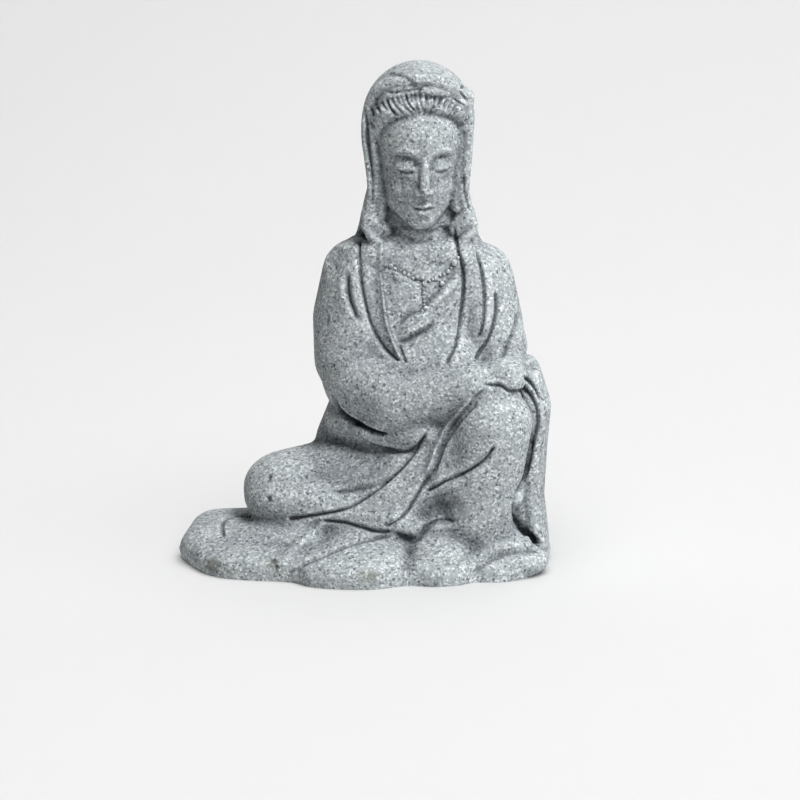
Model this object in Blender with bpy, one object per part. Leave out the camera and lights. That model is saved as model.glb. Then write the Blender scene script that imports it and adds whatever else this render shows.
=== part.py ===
"""A seated, hooded figure in the posture of royal ease, cast in one piece of grey cast stone.

The figure is modelled as a sculptor would: rounded masses are pressed together, smoothed into one
body, and then carved along lines that are drawn on a picture plane and cast back onto the form.
Lengths of the figure are shares of its own height; the spread hem that it sits on has its own sizes.
"""

import math

import bmesh
import bpy
import numpy as np
from mathutils import Matrix, Vector
from mathutils.bvhtree import BVHTree

# Driving sizes in metres
STATUE_HEIGHT = 0.130
HEM_WIDTH = 0.098
HEM_DEPTH = 0.075
HEM_THICKNESS = 0.0075

# The figure is drawn at 130 mm high, so this is one of its millimetres
MM = STATUE_HEIGHT / 130.0

# Surface resolution of the clay, what the finished solid may hold, the narrowest carved line, what
# smoothing takes off the hem's edge, and how finely the balls are divided
SOFT_VOXEL = 1.1 * MM
FIRM_VOXEL = 0.7 * MM
FINISHED_TRIANGLES = 9600
FINEST_LINE = 0.7
EDGE_LOSS = 0.13 * MM
ROUNDNESS = 3

# The picture plane that the carving is drawn on: seen from this far, this high up, over this point
SIGHT_DISTANCE = 850 * MM
SIGHT_RISE = math.radians(12.0)
SIGHT_HEIGHT = 60 * MM

STONE_GREY = (0.30, 0.32, 0.34, 1.0)
STONE_ROUGHNESS = 0.9

# Each mass is the skin stretched over two or more balls: centre and half sizes, in figure millimetres
HIPS = (
    (((14, 11, 16), (28, 25.5, 14)), ((14, 10, 38), (23.5, 18, 12))),
    (((14, 10, 38), (23.5, 18, 12)), ((14, 8, 66), (22, 14, 11))),
)
SHOULDERS = (
    (((14, 8, 66), (22, 14, 11)), ((14, 5, 81), (17, 9, 6.5))),
    (((0.5, 5, 75), (11.5, 11, 9)), ((-1.7, 4, 63), (11.9, 12, 10)), ((-2, 0, 52.5), (11.3, 12, 10.5))),
    (((28.5, 5, 74), (10.5, 10.5, 8.5)), ((34, -1, 56), (8.8, 11, 10))),
    (((14, 2.5, 75), (17, 9.5, 8)), ((15, -1.5, 55), (19, 12, 10))),
    (((16, -4, 55), (15, 11, 8)), ((18, -7, 46), (12, 10, 7))),
    (((12, -9.5, 53), (7, 7, 5)), ((24, -11, 54), (7, 7, 5)), ((18, -5, 62), (8, 7, 5))),
    (((3, -0.5, 80), (4.5, 5, 5)), ((25.5, -0.5, 80), (4.5, 5, 5))),
)
FOREARMS = (
    (((0, -3, 48), (11.2, 12, 11)), ((9, -14.0, 44), (9, 7.5, 8.5))),
    (((9, -14.0, 44), (9, 7.5, 8.5)), ((29, -17.5, 48.5), (7.5, 6.5, 6.5))),
    (((5, -10, 36), (9, 7, 4)), ((16, -15, 36), (5, 6, 4))),
    (((-1.5, -2, 37), (9.2, 10, 6)), ((8, -9, 34), (9, 8, 5))),
    (((-1, 3, 39), (8.6, 9, 6)), ((-4.6, 4, 30.6), (8.4, 10, 4.6))),
    (((35, -3, 52), (7.5, 8, 8)), ((36, -17, 51), (6, 5.5, 5))),
)
FOLDED_LEG = (
    (((6, 6, 20), (14, 14, 12)), ((-19.5, -4, 18.5), (12.6, 13, 9.8))),
    (((-19.5, -6, 17), (12.4, 12.5, 9)), ((10, -17, 13), (11, 8, 7))),
    (((-8, -3, 20), (12, 11, 10.5)), ((10, -9, 26), (10, 9, 8.5)), ((9, -15, 18), (9, 8, 8))),
)
RAISED_LEG = (
    (((27, 6, 26), (13, 13, 12)), ((33, -18, 39), (10.3, 9.5, 10))),
    (((33, -18.5, 39), (10.3, 9.5, 10)), ((29, -19, 14), (9.8, 8.5, 8))),
)
LAP = (
    (((22, -13, 38), (9, 6, 5)), ((6, -16, 15), (12, 7.5, 6)), ((24, -18, 15), (9, 8, 6))),
    (((28, -14, 40), (9, 8, 6)), ((24, -17, 26), (9, 8, 6)), ((34, -17, 26), (7, 8, 6))),
    (((23, -17.5, 25), (8, 8, 5)), ((24, -18.5, 15), (7, 8, 5)), ((33, -18.5, 20), (8, 8, 6))),
    (((24.5, -19.4, 24), (6, 7, 6)), ((25.5, -18.8, 15), (5.5, 7.6, 4.5)), ((30, -19, 20), (8, 8.4, 8))),
)
NECK = (
    (((14, 5, 78), (10.5, 8, 5)), ((14, 3, 90), (7, 7.5, 6))),
)
VEIL = (
    (((14, 9, 95), (13.6, 10, 6)), ((14, 14, 76), (17.6, 10.4, 8))),
    (((14, 14, 76), (17, 10, 8)), ((14, 17, 58), (17, 9, 6))),
)
HOOD = (
    (((14.2, 5, 115), (14.6, 14, 15)), ((14, 7, 98), (12.6, 10, 8)), ((14, -1, 118.6), (11.5, 8, 9.4))),
    (((14, 7, 98), (12.6, 10, 8)), ((14.1, 7, 88.5), (14.4, 10, 3))),
    (((1.4, 2.5, 88), (2.4, 3.6, 3.6)), ((5.5, 1.5, 83.5), (3.0, 3.4, 2.6)), ((6.5, 4, 92), (3.6, 4, 6))),
    (((26.2, -3.2, 122.0), (2.2, 3, 2.0)), ((25.6, -2.5, 114), (2.2, 3, 3))),
    (((27.0, 2.5, 88), (2.4, 3.6, 3.4)), ((24.0, 1.5, 84), (3.0, 3.4, 2.6)), ((21.8, 4, 92), (3.6, 4, 6))),
)

# The head is built square and then turned and nodded about its middle: across, forward of it, up from it
HEAD_MIDDLE = (14, 0.5, 103.3)
HEAD_TURN = math.radians(8.0)
HEAD_NOD = math.radians(7.0)
HEAD = (
    (((0, -1, 8), (12.0, 12, 13)), ((0, 1.4, -6.4), (9.2, 8.4, 7.6)), ((0, 6.7, -11.9), (4.2, 3.5, 3.1))),
    (((-4.4, 4.5, -3.8), (4.3, 4.6, 5.0)), ((4.4, 4.5, -3.8), (4.3, 4.6, 5.0))),
)
FEATURES = (
    (((0, 9.7, 5.2), (1.3, 1.1, 1.8)), ((0, 11.7, -3.5), (1.3, 1.6, 1.3))),
    (((0, 8.9, 3.6), (2.1, 1.3, 2.0)), ((0, 9.5, -3.6), (2.7, 1.6, 1.3))),
    (((-1.6, 10.5, -4.1), (1.0, 1.1, 0.9)), ((1.6, 10.5, -4.1), (1.0, 1.1, 0.9))),
    (((-5.7, 8.2, 2.2), (1.7, 1.2, 1.2)), ((-4.0, 8.7, 2.2), (1.7, 1.3, 1.4))),
    (((5.7, 8.2, 2.2), (1.7, 1.2, 1.2)), ((4.0, 8.7, 2.2), (1.7, 1.3, 1.4))),
    (((0, 7.5, -8.4), (4.0, 2.7, 3.0)), ((0, 7.0, -9.8), (3.6, 2.6, 2.6))),
    (((0, 10.95, 7.4), (0.55, 0.5, 0.55)), ((0, 10.5, 7.4), (0.55, 0.5, 0.55))),
)

# Combed hair between the brow and the hood, and the lock that falls beside each cheek
HAIR = (
    ((-11.8, 2.0, 6), (-11.2, 3.8, 12), (-9.0, 5.8, 16.6), (-4.4, 7.2, 18.4), (0, 7.6, 18.4),
     (4.4, 7.2, 18.4), (9.0, 5.8, 16.6), (11.2, 3.8, 12), (11.8, 2.0, 6)),
    ((-10.4, 2.4, 15), (-7.8, 4.6, 20), (-3.8, 5.8, 21.6), (0, 6.2, 21.8), (3.8, 5.8, 21.6),
     (7.8, 4.6, 20), (10.4, 2.4, 15)),
    ((-11.8, 1.8, 6), (-11.4, 1.6, -2), (-10.6, 1.4, -9), (-10.2, 1, -16)),
    ((11.8, 1.8, 6), (11.4, 1.6, -2), (10.6, 1.4, -9), (10.2, 1, -16)),
)
HAIR_THICKNESS = 4.0

# The hem where it spills from the legs: the pad on the left, the tongue in front, the folds on the right
HEM_LOBES = (
    (((-34.4, -7, 3.8), (14.4, 14.6, 6.2)), ((-38.6, 5.5, 5.0), (7.8, 7.6, 4.8)),
     ((-16, -14, 6), (12, 12, 7)), ((-22, 7, 5), (9, 9, 4.6))),
    (((-3, -28, 3.5), (12, 8, 4.5)), ((0, -18, 7), (13, 7, 6))),
    (((19, -25.4, 4.4), (9.6, 7.6, 4.8)), ((20, -18, 8), (10, 7, 6.4))),
    (((39, -20, 3.2), (9, 9, 4.4)), ((32, -18, 7), (9, 9, 7))),
)

# The rolled front edge of the hood, from the left shoulder over the brow to the right one
HOOD_RIM = (
    (5.6, -3.0, 81.5), (2.6, -2.8, 84.6), (0.6, -2.2, 87.6), (1.4, -2.2, 92), (2.2, -3.0, 98),
    (1.5, -3.4, 105), (0.7, -3.6, 111), (0.9, -4, 116.5), (2.2, -5.2, 121.4), (4.8, -7, 124.6),
    (8.5, -8.6, 126.2), (12, -9.4, 126.8), (16, -9.6, 127), (20, -9, 126.2), (23.5, -7.4, 124.2),
    (26.0, -5, 120), (26.8, -3.8, 114), (26.4, -3.4, 105), (25.8, -2.8, 97), (26.8, -2.2, 91.5),
    (28.2, -2.2, 87.6), (26.4, -2.8, 84.8), (24.2, -3.0, 82),
)
RIM_THICKNESS = 2.8
RIM_DEPTH = 5.0

# The sleeve's hanging end beside the raised knee: middle of each section, and its half sizes
SIDE_FALL = (
    ((41.8, -8, 50), (4.2, 6, 5)), ((44.8, -10, 42), (3.7, 7, 5)), ((43.8, -9, 31), (3.9, 7, 5)),
    ((42.8, -9, 18), (4.2, 8, 5)), ((45.0, -9, 6), (3.4, 10, 5)),
)
FALL_BACKING = (
    (((36, 1, 48), (9, 8, 8)), ((37.5, -2, 26), (9, 10, 8)), ((38, -1, 8), (9.6, 11, 8))),
    (((38.6, -8.5, 30), (5.4, 8, 8)), ((39.4, -9, 9), (6.4, 9, 8))),
)

# Plan of the hem's edge, anticlockwise from the left end
HEM_EDGE = (
    (-49, -4), (-46.5, -14), (-42, -22.5), (-36, -27), (-28, -29), (-19.5, -30.5), (-14, -35),
    (-5, -37.4), (3, -37.2), (11, -34.2), (18, -35.2), (24.5, -33.8), (28.5, -31.2), (35, -31.2),
    (42, -27.5), (46.5, -18), (49, -7), (47.5, 6), (43, 18), (34, 29), (24, 35.5), (13, 37.5), (1, 35.5),
    (-11, 28), (-22, 20), (-32, 13.5), (-42, 8.5),
)

# Over the hem's edge: share of its plan, share of its thickness, for the soft body and the firm edge
HEM_TOP = ((0.93, 0.82), (0.8, 1.1), (0.6, 1.35), (0.3, 1.4))
HEM_RIM = ((0.95, 0.66), (0.88, 0.6))


# Carved lines, as drawn on the picture plane: millimetres across and up.
# A groove sinks, a ridge rises; a lap is the edge of a cloth that lies over another, on the line's left.
# kind, how deep or high, how wide, points
CARVING = (
    # lapels
    ("groove", 1.0, 0.4, ((-1.1, 83.6), (-1.5, 80.3), (-1.3, 75.5), (-0.8, 71.4), (0.3, 66.6),
                          (1.6, 61.8), (3.5, 57.4), (5.5, 54.6), (7.9, 52.5), (9.6, 51.8))),
    ("lap", 0.7, 0.9, ((9.6, 51.8), (5.5, 54.6), (1.6, 61.8), (-0.8, 71.4), (-1.5, 80.3))),
    ("lap", 0.9, 0.5, ((4.5, 83.4), (4.7, 78.4), (4.8, 74.7), (5.1, 71.5), (5.6, 67.9), (6.0, 64.2),
                       (6.7, 60.6), (7.7, 57.7), (8.7, 55.3), (9.7, 53.2), (11.2, 51.0))),
    ("ridge", 0.35, 0.45, ((4.0, 82.4), (4.3, 74.7), (4.7, 71.0), (5.5, 64.2), (6.2, 60.6), (7.3, 57.5),
                           (8.6, 54.2), (10.0, 51.8))),
    ("groove", 0.9, 0.4, ((8.8, 56.4), (9.7, 54.0), (10.5, 52.2), (11.3, 50.8))),
    ("groove", 1.0, 0.4, ((23.4, 87.2), (23.8, 84.1), (24.4, 81.5), (25.0, 79.1), (25.7, 76.8),
                          (26.05, 73.6), (26.0, 70.5), (25.8, 67.3), (25.5, 64.2), (25.2, 61.1),
                          (24.6, 57.9), (23.7, 55.3), (22.4, 52.7), (21.2, 50.6))),
    ("lap", 0.7, 0.6, ((24.4, 82.5), (26.05, 73.6), (25.5, 64.2), (24.0, 56.0), (21.2, 50.6))),
    ("groove", 0.9, 0.4, ((28.1, 83.8), (29.5, 81.0), (30.5, 77.0), (31.1, 73.0), (31.5, 69.0),
                          (31.4, 65.0), (30.7, 60.6), (29.6, 57.4))),
    ("lap", 0.6, 0.8, ((28.3, 83.4), (30.5, 77.0), (31.5, 69.0), (30.9, 61.0))),
    # neck
    ("groove", 0.4, 0.45, ((8.6, 87.6), (11.4, 86.6), (14.6, 85.6), (18.0, 85.8), (20.6, 87.0))),
    ("groove", 0.3, 0.45, ((10.4, 84.4), (14.4, 83.0), (18.6, 83.8))),
    # sleeves
    ("groove", 1.2, 0.45, ((34.3, 70.4), (34.5, 66.6), (34.0, 62.6), (32.3, 57.8), (30.3, 54.4),
                           (29.0, 52.0))),
    ("ridge", 0.4, 1.1, ((36.2, 70.0), (36.1, 65.0), (34.7, 58.0))),
    ("groove", 0.6, 0.9, ((40.3, 65.0), (39.9, 61.1), (38.7, 57.8), (36.8, 54.6), (35.0, 52.0))),
    ("groove", 1.2, 0.7, ((-4.2, 75.2), (-4.5, 71.4), (-3.7, 67.4), (-2.5, 64.2), (-1.1, 61.8))),
    ("ridge", 0.5, 0.9, ((-5.9, 74.6), (-6.2, 70.4), (-5.2, 66.0))),
    ("ridge", 0.4, 0.8, ((-3.0, 75.5), (-3.0, 70.6), (-1.8, 66.0))),
    # the robe's edge across the breast and its rolled sash
    ("lap", 1.6, 0.9, ((25.2, 76.0), (22.6, 73.1), (20.8, 71.3), (19.0, 68.9), (16.9, 66.6),
                       (15.0, 64.7), (12.7, 63.7), (10.9, 62.4), (9.3, 61.1), (7.4, 60.0))),
    ("lap", 1.4, 0.7, ((7.6, 57.6), (9.3, 57.4), (10.9, 57.9), (12.4, 58.6), (14.0, 59.5), (15.8, 60.5),
                       (18.6, 63.0))),
    ("ridge", 0.6, 1.2, ((25.4, 73.8), (22.4, 70.9), (19.6, 67.8), (17.0, 65.0))),
    ("ridge", 0.5, 1.5, ((8.4, 59.2), (11.5, 60.2), (15.0, 62.6), (18.6, 66.0))),
    ("groove", 0.3, 0.4, ((8.2, 59.8), (11.2, 60.4), (14.4, 62.6))),
    # the near sleeve's lower edges
    ("groove", 1.6, 0.45, ((-8.4, 44.0), (-7.4, 42.0), (-6.2, 39.8), (-3.7, 37.2), (-0.1, 34.9),
                           (3.0, 33.3), (6.4, 32.4))),
    ("lap", 1.6, 0.9, ((-8.6, 44.4), (-6.2, 39.8), (-0.1, 34.9), (6.4, 32.4))),
    ("lap", 1.4, 1.0, ((-1.6, 32.2), (2.3, 30.4), (6.3, 29.2), (10.3, 28.7), (13.5, 30.0), (16.4, 33.4))),
    # skirt over the folded leg
    ("groove", 1.3, 0.45, ((16.2, 33.4), (14.6, 29.6), (12.8, 26.4), (9.5, 23.5), (5.2, 21.0),
                           (-0.1, 19.1), (-5.0, 18.2), (-8.6, 17.9))),
    ("lap", 0.8, 1.2, ((14.6, 30.4), (9.5, 23.5), (2.6, 20.0))),
    ("groove", 1.2, 0.45, ((12.4, 24.6), (10.4, 21.6), (6.3, 18.2), (1.0, 15.6), (-5.4, 13.4),
                           (-13.0, 11.7), (-18.6, 10.8))),
    ("groove", 1.0, 0.45, ((-11.6, 9.9), (-5.4, 9.3), (-1.2, 8.2), (3.4, 7.0), (7.6, 7.2))),
    # the long fold from the raised knee
    ("lap", 1.1, 0.8, ((14.4, 18.0), (17.6, 23.6), (19.3, 29.0), (22.3, 34.6), (25.5, 38.6),
                       (28.7, 42.6), (31.9, 45.0))),
    ("ridge", 0.7, 0.55, ((15.6, 21.4), (17.4, 24.4), (19.1, 29.0), (22.0, 34.6), (25.2, 38.6),
                          (29.0, 42.8))),
    ("groove", 0.8, 0.45, ((17.6, 21.6), (19.2, 25.4), (20.7, 29.4), (23.7, 34.2), (26.8, 38.0),
                           (29.8, 41.0))),
    ("groove", 1.2, 0.45, ((16.8, 22.6), (15.2, 19.4), (13.2, 16.0), (10.6, 11.9), (7.4, 9.2), (4.4, 8.0))),
    ("groove", 1.2, 0.45, ((34.3, 29.6), (31.2, 25.4), (26.0, 22.6), (21.3, 20.5), (17.4, 18.6))),
    ("lap", 0.7, 1.4, ((17.4, 18.6), (26.0, 22.6), (34.3, 29.6))),
    # hollow under the raised leg's skirt
    ("groove", 1.5, 2.6, ((14.5, 12.4), (19.0, 10.6), (24.0, 11.0), (27.0, 13.4))),
    ("groove", 1.2, 0.9, ((9.0, 7.4), (13.0, 6.6), (17.0, 8.2), (22.0, 8.8), (26.4, 9.4))),
    # knee, hand and wrist
    ("groove", 0.9, 0.45, ((31.0, 45.7), (33.4, 45.4), (35.9, 45.0), (37.1, 44.2), (38.6, 43.7),
                           (41.6, 43.9))),
    ("groove", 0.3, 0.4, ((32.4, 47.6), (35.4, 47.2), (38.8, 46.4))),
    ("groove", 1.2, 0.45, ((41.6, 47.9), (43.6, 45.8), (45.2, 43.8), (46.2, 41.0))),
    ("groove", 1.3, 0.7, ((41.4, 44.6), (43.6, 41.8), (44.8, 38.6), (45.2, 34.6), (44.0, 30.6),
                          (43.4, 27.0))),
    # the sleeve's hanging end, its edge beside the calf and over the hem
    ("lap", 1.1, 1.3, ((43.8, 31.0), (43.2, 25.3), (41.2, 19.0), (39.6, 11.4), (43.2, 6.2), (47.4, 3.0))),
    ("groove", 1.3, 0.5, ((43.9, 31.0), (43.2, 25.3), (41.2, 19.0), (39.6, 11.4), (43.2, 6.2),
                          (46.8, 3.4))),
    # the hem's folds
    ("groove", 0.9, 0.8, ((7.6, 6.4), (2.0, 5.2), (-3.3, 3.9), (-10.8, 0.9), (-16.7, -1.9), (-18.4, -5.4))),
    ("ridge", 0.6, 1.2, ((-9.4, 10.2), (-14.0, 6.4), (-18.7, 2.4), (-21.4, -1.4), (-21.6, -5.0))),
    ("groove", 1.4, 1.9, ((9.6, 7.0), (11.3, 3.2), (11.0, -0.6), (10.4, -4.2), (9.4, -7.0))),
    ("ridge", 0.5, 1.2, ((28.0, -1.6), (31.0, 1.4), (35.0, 3.0), (41.0, 3.8))),
    ("groove", 1.0, 1.0, ((28.6, -6.0), (29.6, -3.8), (31.2, -1.4), (35.2, 0.7), (40.5, 1.7), (45.6, 2.4))),
    ("groove", 0.8, 0.4, ((-36.0, 9.9), (-33.0, 10.9), (-29.0, 10.6), (-24.6, 11.4))),
    ("groove", 0.9, 0.45, ((-33.6, 10.9), (-34.2, 9.4), (-33.9, 7.6), (-33.2, 6.4))),
    # hood: the fold that turns under over the brow, and the small hollow at the right
    ("ridge", 0.7, 0.8, ((3.2, 125.6), (6.2, 125.9), (9.4, 125.2), (12.2, 124.0), (15.0, 122.8),
                         (19.6, 122.4), (23.6, 122.6))),
    ("groove", 0.6, 1.1, ((4.8, 123.6), (8.6, 123.4), (11.6, 122.2), (14.6, 121.4), (18.6, 120.9))),
    ("groove", 0.7, 0.8, ((9.0, 122.4), (12.0, 121.8), (15.6, 121.6))),
    ("groove", 1.0, 0.45, ((0.9, 112.0), (1.4, 116.0), (3.1, 119.2), (6.0, 121.2), (9.8, 121.2),
                           (13.4, 121.4), (16.6, 121.4), (20.0, 120.8), (22.6, 120.2), (24.6, 117.4),
                           (25.6, 112.4))),
    ("groove", 0.9, 0.4, ((24.9, 122.8), (26.0, 121.0), (27.4, 119.5))),
    ("groove", 0.7, 0.4, ((24.9, 122.8), (26.6, 123.7), (28.4, 123.0))),
)

# Carved lines of the sides and the back, which are plainer: millimetres across and up as seen from there
SIDE_CARVING = {
    "right": (
        ("groove", 1.2, 1.8, ((-2.5, 49), (-2.0, 40), (-1.0, 28), (-2.5, 15), (-5.0, 9))),
        ("groove", 1.3, 2.0, ((6.0, 52), (7.0, 40), (8.0, 26), (8.0, 12))),
        ("groove", 1.2, 2.2, ((15.0, 50), (17.0, 38), (20.0, 24), (23.0, 11))),
        ("groove", 0.9, 1.4, ((-8.0, 56), (0.0, 60.5), (8.0, 68), (12.0, 76))),
        ("groove", 0.8, 1.4, ((-6.0, 53), (3.0, 54), (12.0, 58))),
        ("lap", 1.0, 1.0, ((8.0, 85.0), (13.0, 76.0), (17.0, 66.0), (18.0, 56.0))),
    ),
    "left": (
        ("groove", 1.1, 1.8, ((-9.0, 32.0), (-14.0, 27.0), (-21.0, 16.0))),
        ("groove", 1.0, 1.8, ((-4.0, 31.0), (-9.0, 25.0), (-14.0, 13.0))),
        ("lap", 1.0, 1.0, ((-18.0, 56.0), (-17.0, 66.0), (-13.0, 76.0), (-8.0, 85.0))),
        ("groove", 0.8, 1.4, ((-14.0, 62.0), (-10.0, 54.0), (-8.0, 46.0))),
    ),
    "back": (
        ("lap", 1.3, 1.2, ((4.0, 58.5), (-1.0, 53.6), (-8.0, 51.2), (-14.0, 50.6), (-20.0, 51.2),
                           (-27.0, 53.6), (-32.0, 58.5))),
        ("groove", 0.9, 1.8, ((-8.0, 84.0), (-5.0, 72.0), (-3.5, 60.0))),
        ("groove", 0.8, 1.8, ((-14.0, 82.0), (-14.0, 70.0), (-13.5, 58.0))),
        ("groove", 0.9, 1.8, ((-20.0, 84.0), (-23.0, 72.0), (-24.5, 60.0))),
        ("groove", 1.0, 2.2, ((-8.0, 47.0), (-4.0, 32.0), (0.0, 15.0))),
        ("groove", 1.0, 2.2, ((-15.0, 46.0), (-15.0, 32.0), (-16.0, 14.0))),
        ("groove", 1.0, 2.2, ((-22.0, 47.0), (-26.0, 32.0), (-31.0, 15.0))),
    ),
}

# Carved lines of the head, in its own measures: across and up from its middle
FACE_CARVING = (
    ("ridge", 0.5, 0.9, ((-8.2, 5.0), (-6.4, 6.4), (-4.4, 6.8), (-2.6, 6.0), (-1.5, 4.0))),
    ("ridge", 0.5, 0.9, ((8.2, 5.0), (6.4, 6.4), (4.4, 6.8), (2.6, 6.0), (1.5, 4.0))),
    ("groove", 0.7, 0.9, ((-7.8, 3.9), (-5.4, 4.7), (-3.2, 4.3), (-2.1, 2.6), (-2.3, 0.6))),
    ("groove", 0.7, 0.9, ((7.8, 3.9), (5.4, 4.7), (3.2, 4.3), (2.1, 2.6), (2.3, 0.6))),
    ("groove", 0.35, 0.9, ((-7.2, -0.4), (-5.0, -1.1), (-2.8, -0.6))),
    ("groove", 0.35, 0.9, ((7.2, -0.4), (5.0, -1.1), (2.8, -0.6))),
    ("groove", 0.6, 0.35, ((-7.3, 2.0), (-6.2, 1.1), (-4.8, 0.7), (-3.4, 0.9), (-2.3, 1.6))),
    ("groove", 0.6, 0.35, ((2.3, 1.6), (3.4, 0.9), (4.8, 0.7), (6.2, 1.1), (7.3, 2.0))),
    ("ridge", 0.4, 0.5, ((-2.9, -8.2), (-1.4, -7.8), (0, -8.05), (1.4, -7.8), (2.9, -8.2))),
    ("ridge", 0.45, 0.6, ((-2.2, -9.6), (0, -9.9), (2.2, -9.6))),
    ("groove", 0.6, 0.35, ((-3.3, -8.7), (-1.4, -8.8), (0, -8.95), (1.4, -8.8), (3.3, -8.7))),
    ("groove", 0.35, 0.8, ((-2.0, -11.2), (0, -11.5), (2.0, -11.2))),
    ("groove", 0.3, 0.5, ((0, -5.8), (0, -6.6), (0, -7.4))),
)
HAIR_STRANDS = 21
STRAND_DEPTH = 0.6


def place(point):
    """A point of the figure, in metres."""
    return Vector(point) * MM


def head_point(across, forward, up):
    """A point of the turned and nodding head, in figure millimetres."""
    turn = Matrix.Rotation(HEAD_TURN, 3, "Z") @ Matrix.Rotation(HEAD_NOD, 3, "X")
    return Vector(HEAD_MIDDLE) + turn @ Vector((across, -forward, up))


def add_skin(mesh, balls):
    """Adds the convex skin stretched over some balls to a mesh."""
    ball_points = bmesh.new()
    for centre, half_sizes in balls:
        where = Matrix.Translation(place(centre)) @ Matrix.Diagonal((*(s * MM for s in half_sizes), 1.0))
        bmesh.ops.create_icosphere(ball_points, subdivisions=ROUNDNESS, radius=1.0, matrix=where)
    skin = bmesh.new()
    for vertex in ball_points.verts:
        skin.verts.new(vertex.co)
    ball_points.free()
    bmesh.ops.convex_hull(skin, input=skin.verts)
    bmesh.ops.delete(skin, geom=[v for v in skin.verts if not v.link_faces], context="VERTS")
    bmesh.ops.recalc_face_normals(skin, faces=skin.faces)
    joined = bpy.data.meshes.new("skin")
    skin.to_mesh(joined)
    skin.free()
    mesh.from_mesh(joined)
    bpy.data.meshes.remove(joined)


def add_roll(mesh, points, thickness, depth=0):
    """Adds a roll of cloth or hair along a smooth line through some points, and so far back from it."""
    line = smooth_line(points, 4)
    radii = (thickness / 2,) * 3
    back = np.array((0, depth, 0))
    for first, second in zip(line, line[1:]):
        ends = (first, second, first + back, second + back) if depth else (first, second)
        add_skin(mesh, [(end, radii) for end in ends])


def smooth_line(points, steps):
    """Points along the Catmull-Rom curve through some points."""
    knots = [np.array(p, float) for p in points]
    knots = [2 * knots[0] - knots[1], *knots, 2 * knots[-1] - knots[-2]]
    line = []
    for a, b, c, d in zip(knots, knots[1:], knots[2:], knots[3:]):
        for step in range(steps):
            t = step / steps
            bend, twist = 2 * a - 5 * b + 4 * c - d, 3 * b - a - 3 * c + d
            line.append(0.5 * (2 * b + (c - a) * t + bend * t**2 + twist * t**3))
    line.append(knots[-2])
    return line


def hem_plan():
    """The hem's edge: a smooth closed line through the drawn points, brought to its width and depth."""
    steps = 4
    turned = (*HEM_EDGE[-2:], *HEM_EDGE, *HEM_EDGE[:2])
    line = np.array(smooth_line(turned, steps)[2 * steps:-2 * steps - 1])
    lowest, highest = line.min(0), line.max(0)
    finished = np.array((HEM_WIDTH, HEM_DEPTH)) + 2 * EDGE_LOSS
    return (line - (lowest + highest) / 2) / (highest - lowest) * finished


def add_hem(mesh, top):
    """Adds the spread hem: rings from under its base round its edge, and on over its top."""
    below = 3 * MM
    profile = ((0.97, -below), (0.985, 0.0), (1.0, 0.35 * HEM_THICKNESS), (0.985, 0.62 * HEM_THICKNESS))
    profile += tuple((share, height * HEM_THICKNESS) for share, height in top)
    plan = hem_plan()
    rings = [[mesh.verts.new((x * share, y * share, height)) for x, y in plan] for share, height in profile]
    for lower, upper in zip(rings, rings[1:]):
        for index in range(len(plan)):
            following = (index + 1) % len(plan)
            mesh.faces.new((lower[index], lower[following], upper[following], upper[index]))
    mesh.faces.new(list(reversed(rings[0])))
    mesh.faces.new(rings[-1])


def evaluated_copy(obj):
    """A new mesh of the object as its modifiers leave it."""
    graph = bpy.context.evaluated_depsgraph_get()
    return bpy.data.meshes.new_from_object(obj.evaluated_get(graph))


def fused(mesh, voxel, smoothing):
    """The masses of a mesh fused into one closed surface and smoothed."""
    data = bpy.data.meshes.new("clay")
    mesh.to_mesh(data)
    clay = bpy.data.objects.new("clay", data)
    bpy.context.scene.collection.objects.link(clay)
    remesh = clay.modifiers.new("fuse", "REMESH")
    remesh.mode = "VOXEL"
    remesh.voxel_size = voxel
    smooth = clay.modifiers.new("smooth", "SMOOTH")
    smooth.factor = 0.5
    smooth.iterations = smoothing
    result = evaluated_copy(clay)
    bpy.data.objects.remove(clay)
    bpy.data.meshes.remove(data)
    return result


def of_head(balls):
    """Balls given in the head's own measures, set in the figure."""
    return [(head_point(*centre), half_sizes) for centre, half_sizes in balls]


def block_out():
    """The figure on its hem, before carving."""
    soft = bmesh.new()
    softened = (HIPS, SHOULDERS, FOREARMS, FOLDED_LEG, RAISED_LEG, LAP, NECK, VEIL, FALL_BACKING, HEM_LOBES)
    for group in softened:
        for balls in group:
            add_skin(soft, balls)
    add_hem(soft, HEM_TOP)
    body = fused(soft, SOFT_VOXEL, 10)
    soft.free()
    firm = bmesh.new()
    firm.from_mesh(body)
    for balls in HOOD:
        add_skin(firm, balls)
    for balls in (*HEAD, *FEATURES):
        add_skin(firm, of_head(balls))
    for points in HAIR:
        add_roll(firm, [head_point(*point) for point in points], HAIR_THICKNESS)
    for first, second in zip(SIDE_FALL, SIDE_FALL[1:]):
        add_skin(firm, (first, second))
    add_roll(firm, HOOD_RIM, RIM_THICKNESS, RIM_DEPTH)
    add_hem(firm, HEM_RIM)
    clay = fused(firm, FIRM_VOXEL, 3)
    firm.free()
    return clay


def traced(points, tree, eye, aim):
    """Where a drawn line falls on the clay: its points in space, and the clay's normals there."""
    found, normals = [], []
    for point in smooth_line(points, 10):
        hit, normal, _, _ = tree.ray_cast(eye(point), aim(point) - eye(point))
        if hit is not None:
            found.append(hit)
            normals.append(normal)
    return np.array(found), np.array(normals)


def on_picture_plane(point):
    """The spot of a drawn point on the picture plane, in metres."""
    rise = point[1] * MM - SIGHT_HEIGHT
    return Vector((point[0] * MM, rise * math.sin(SIGHT_RISE), SIGHT_HEIGHT + rise * math.cos(SIGHT_RISE)))


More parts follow.
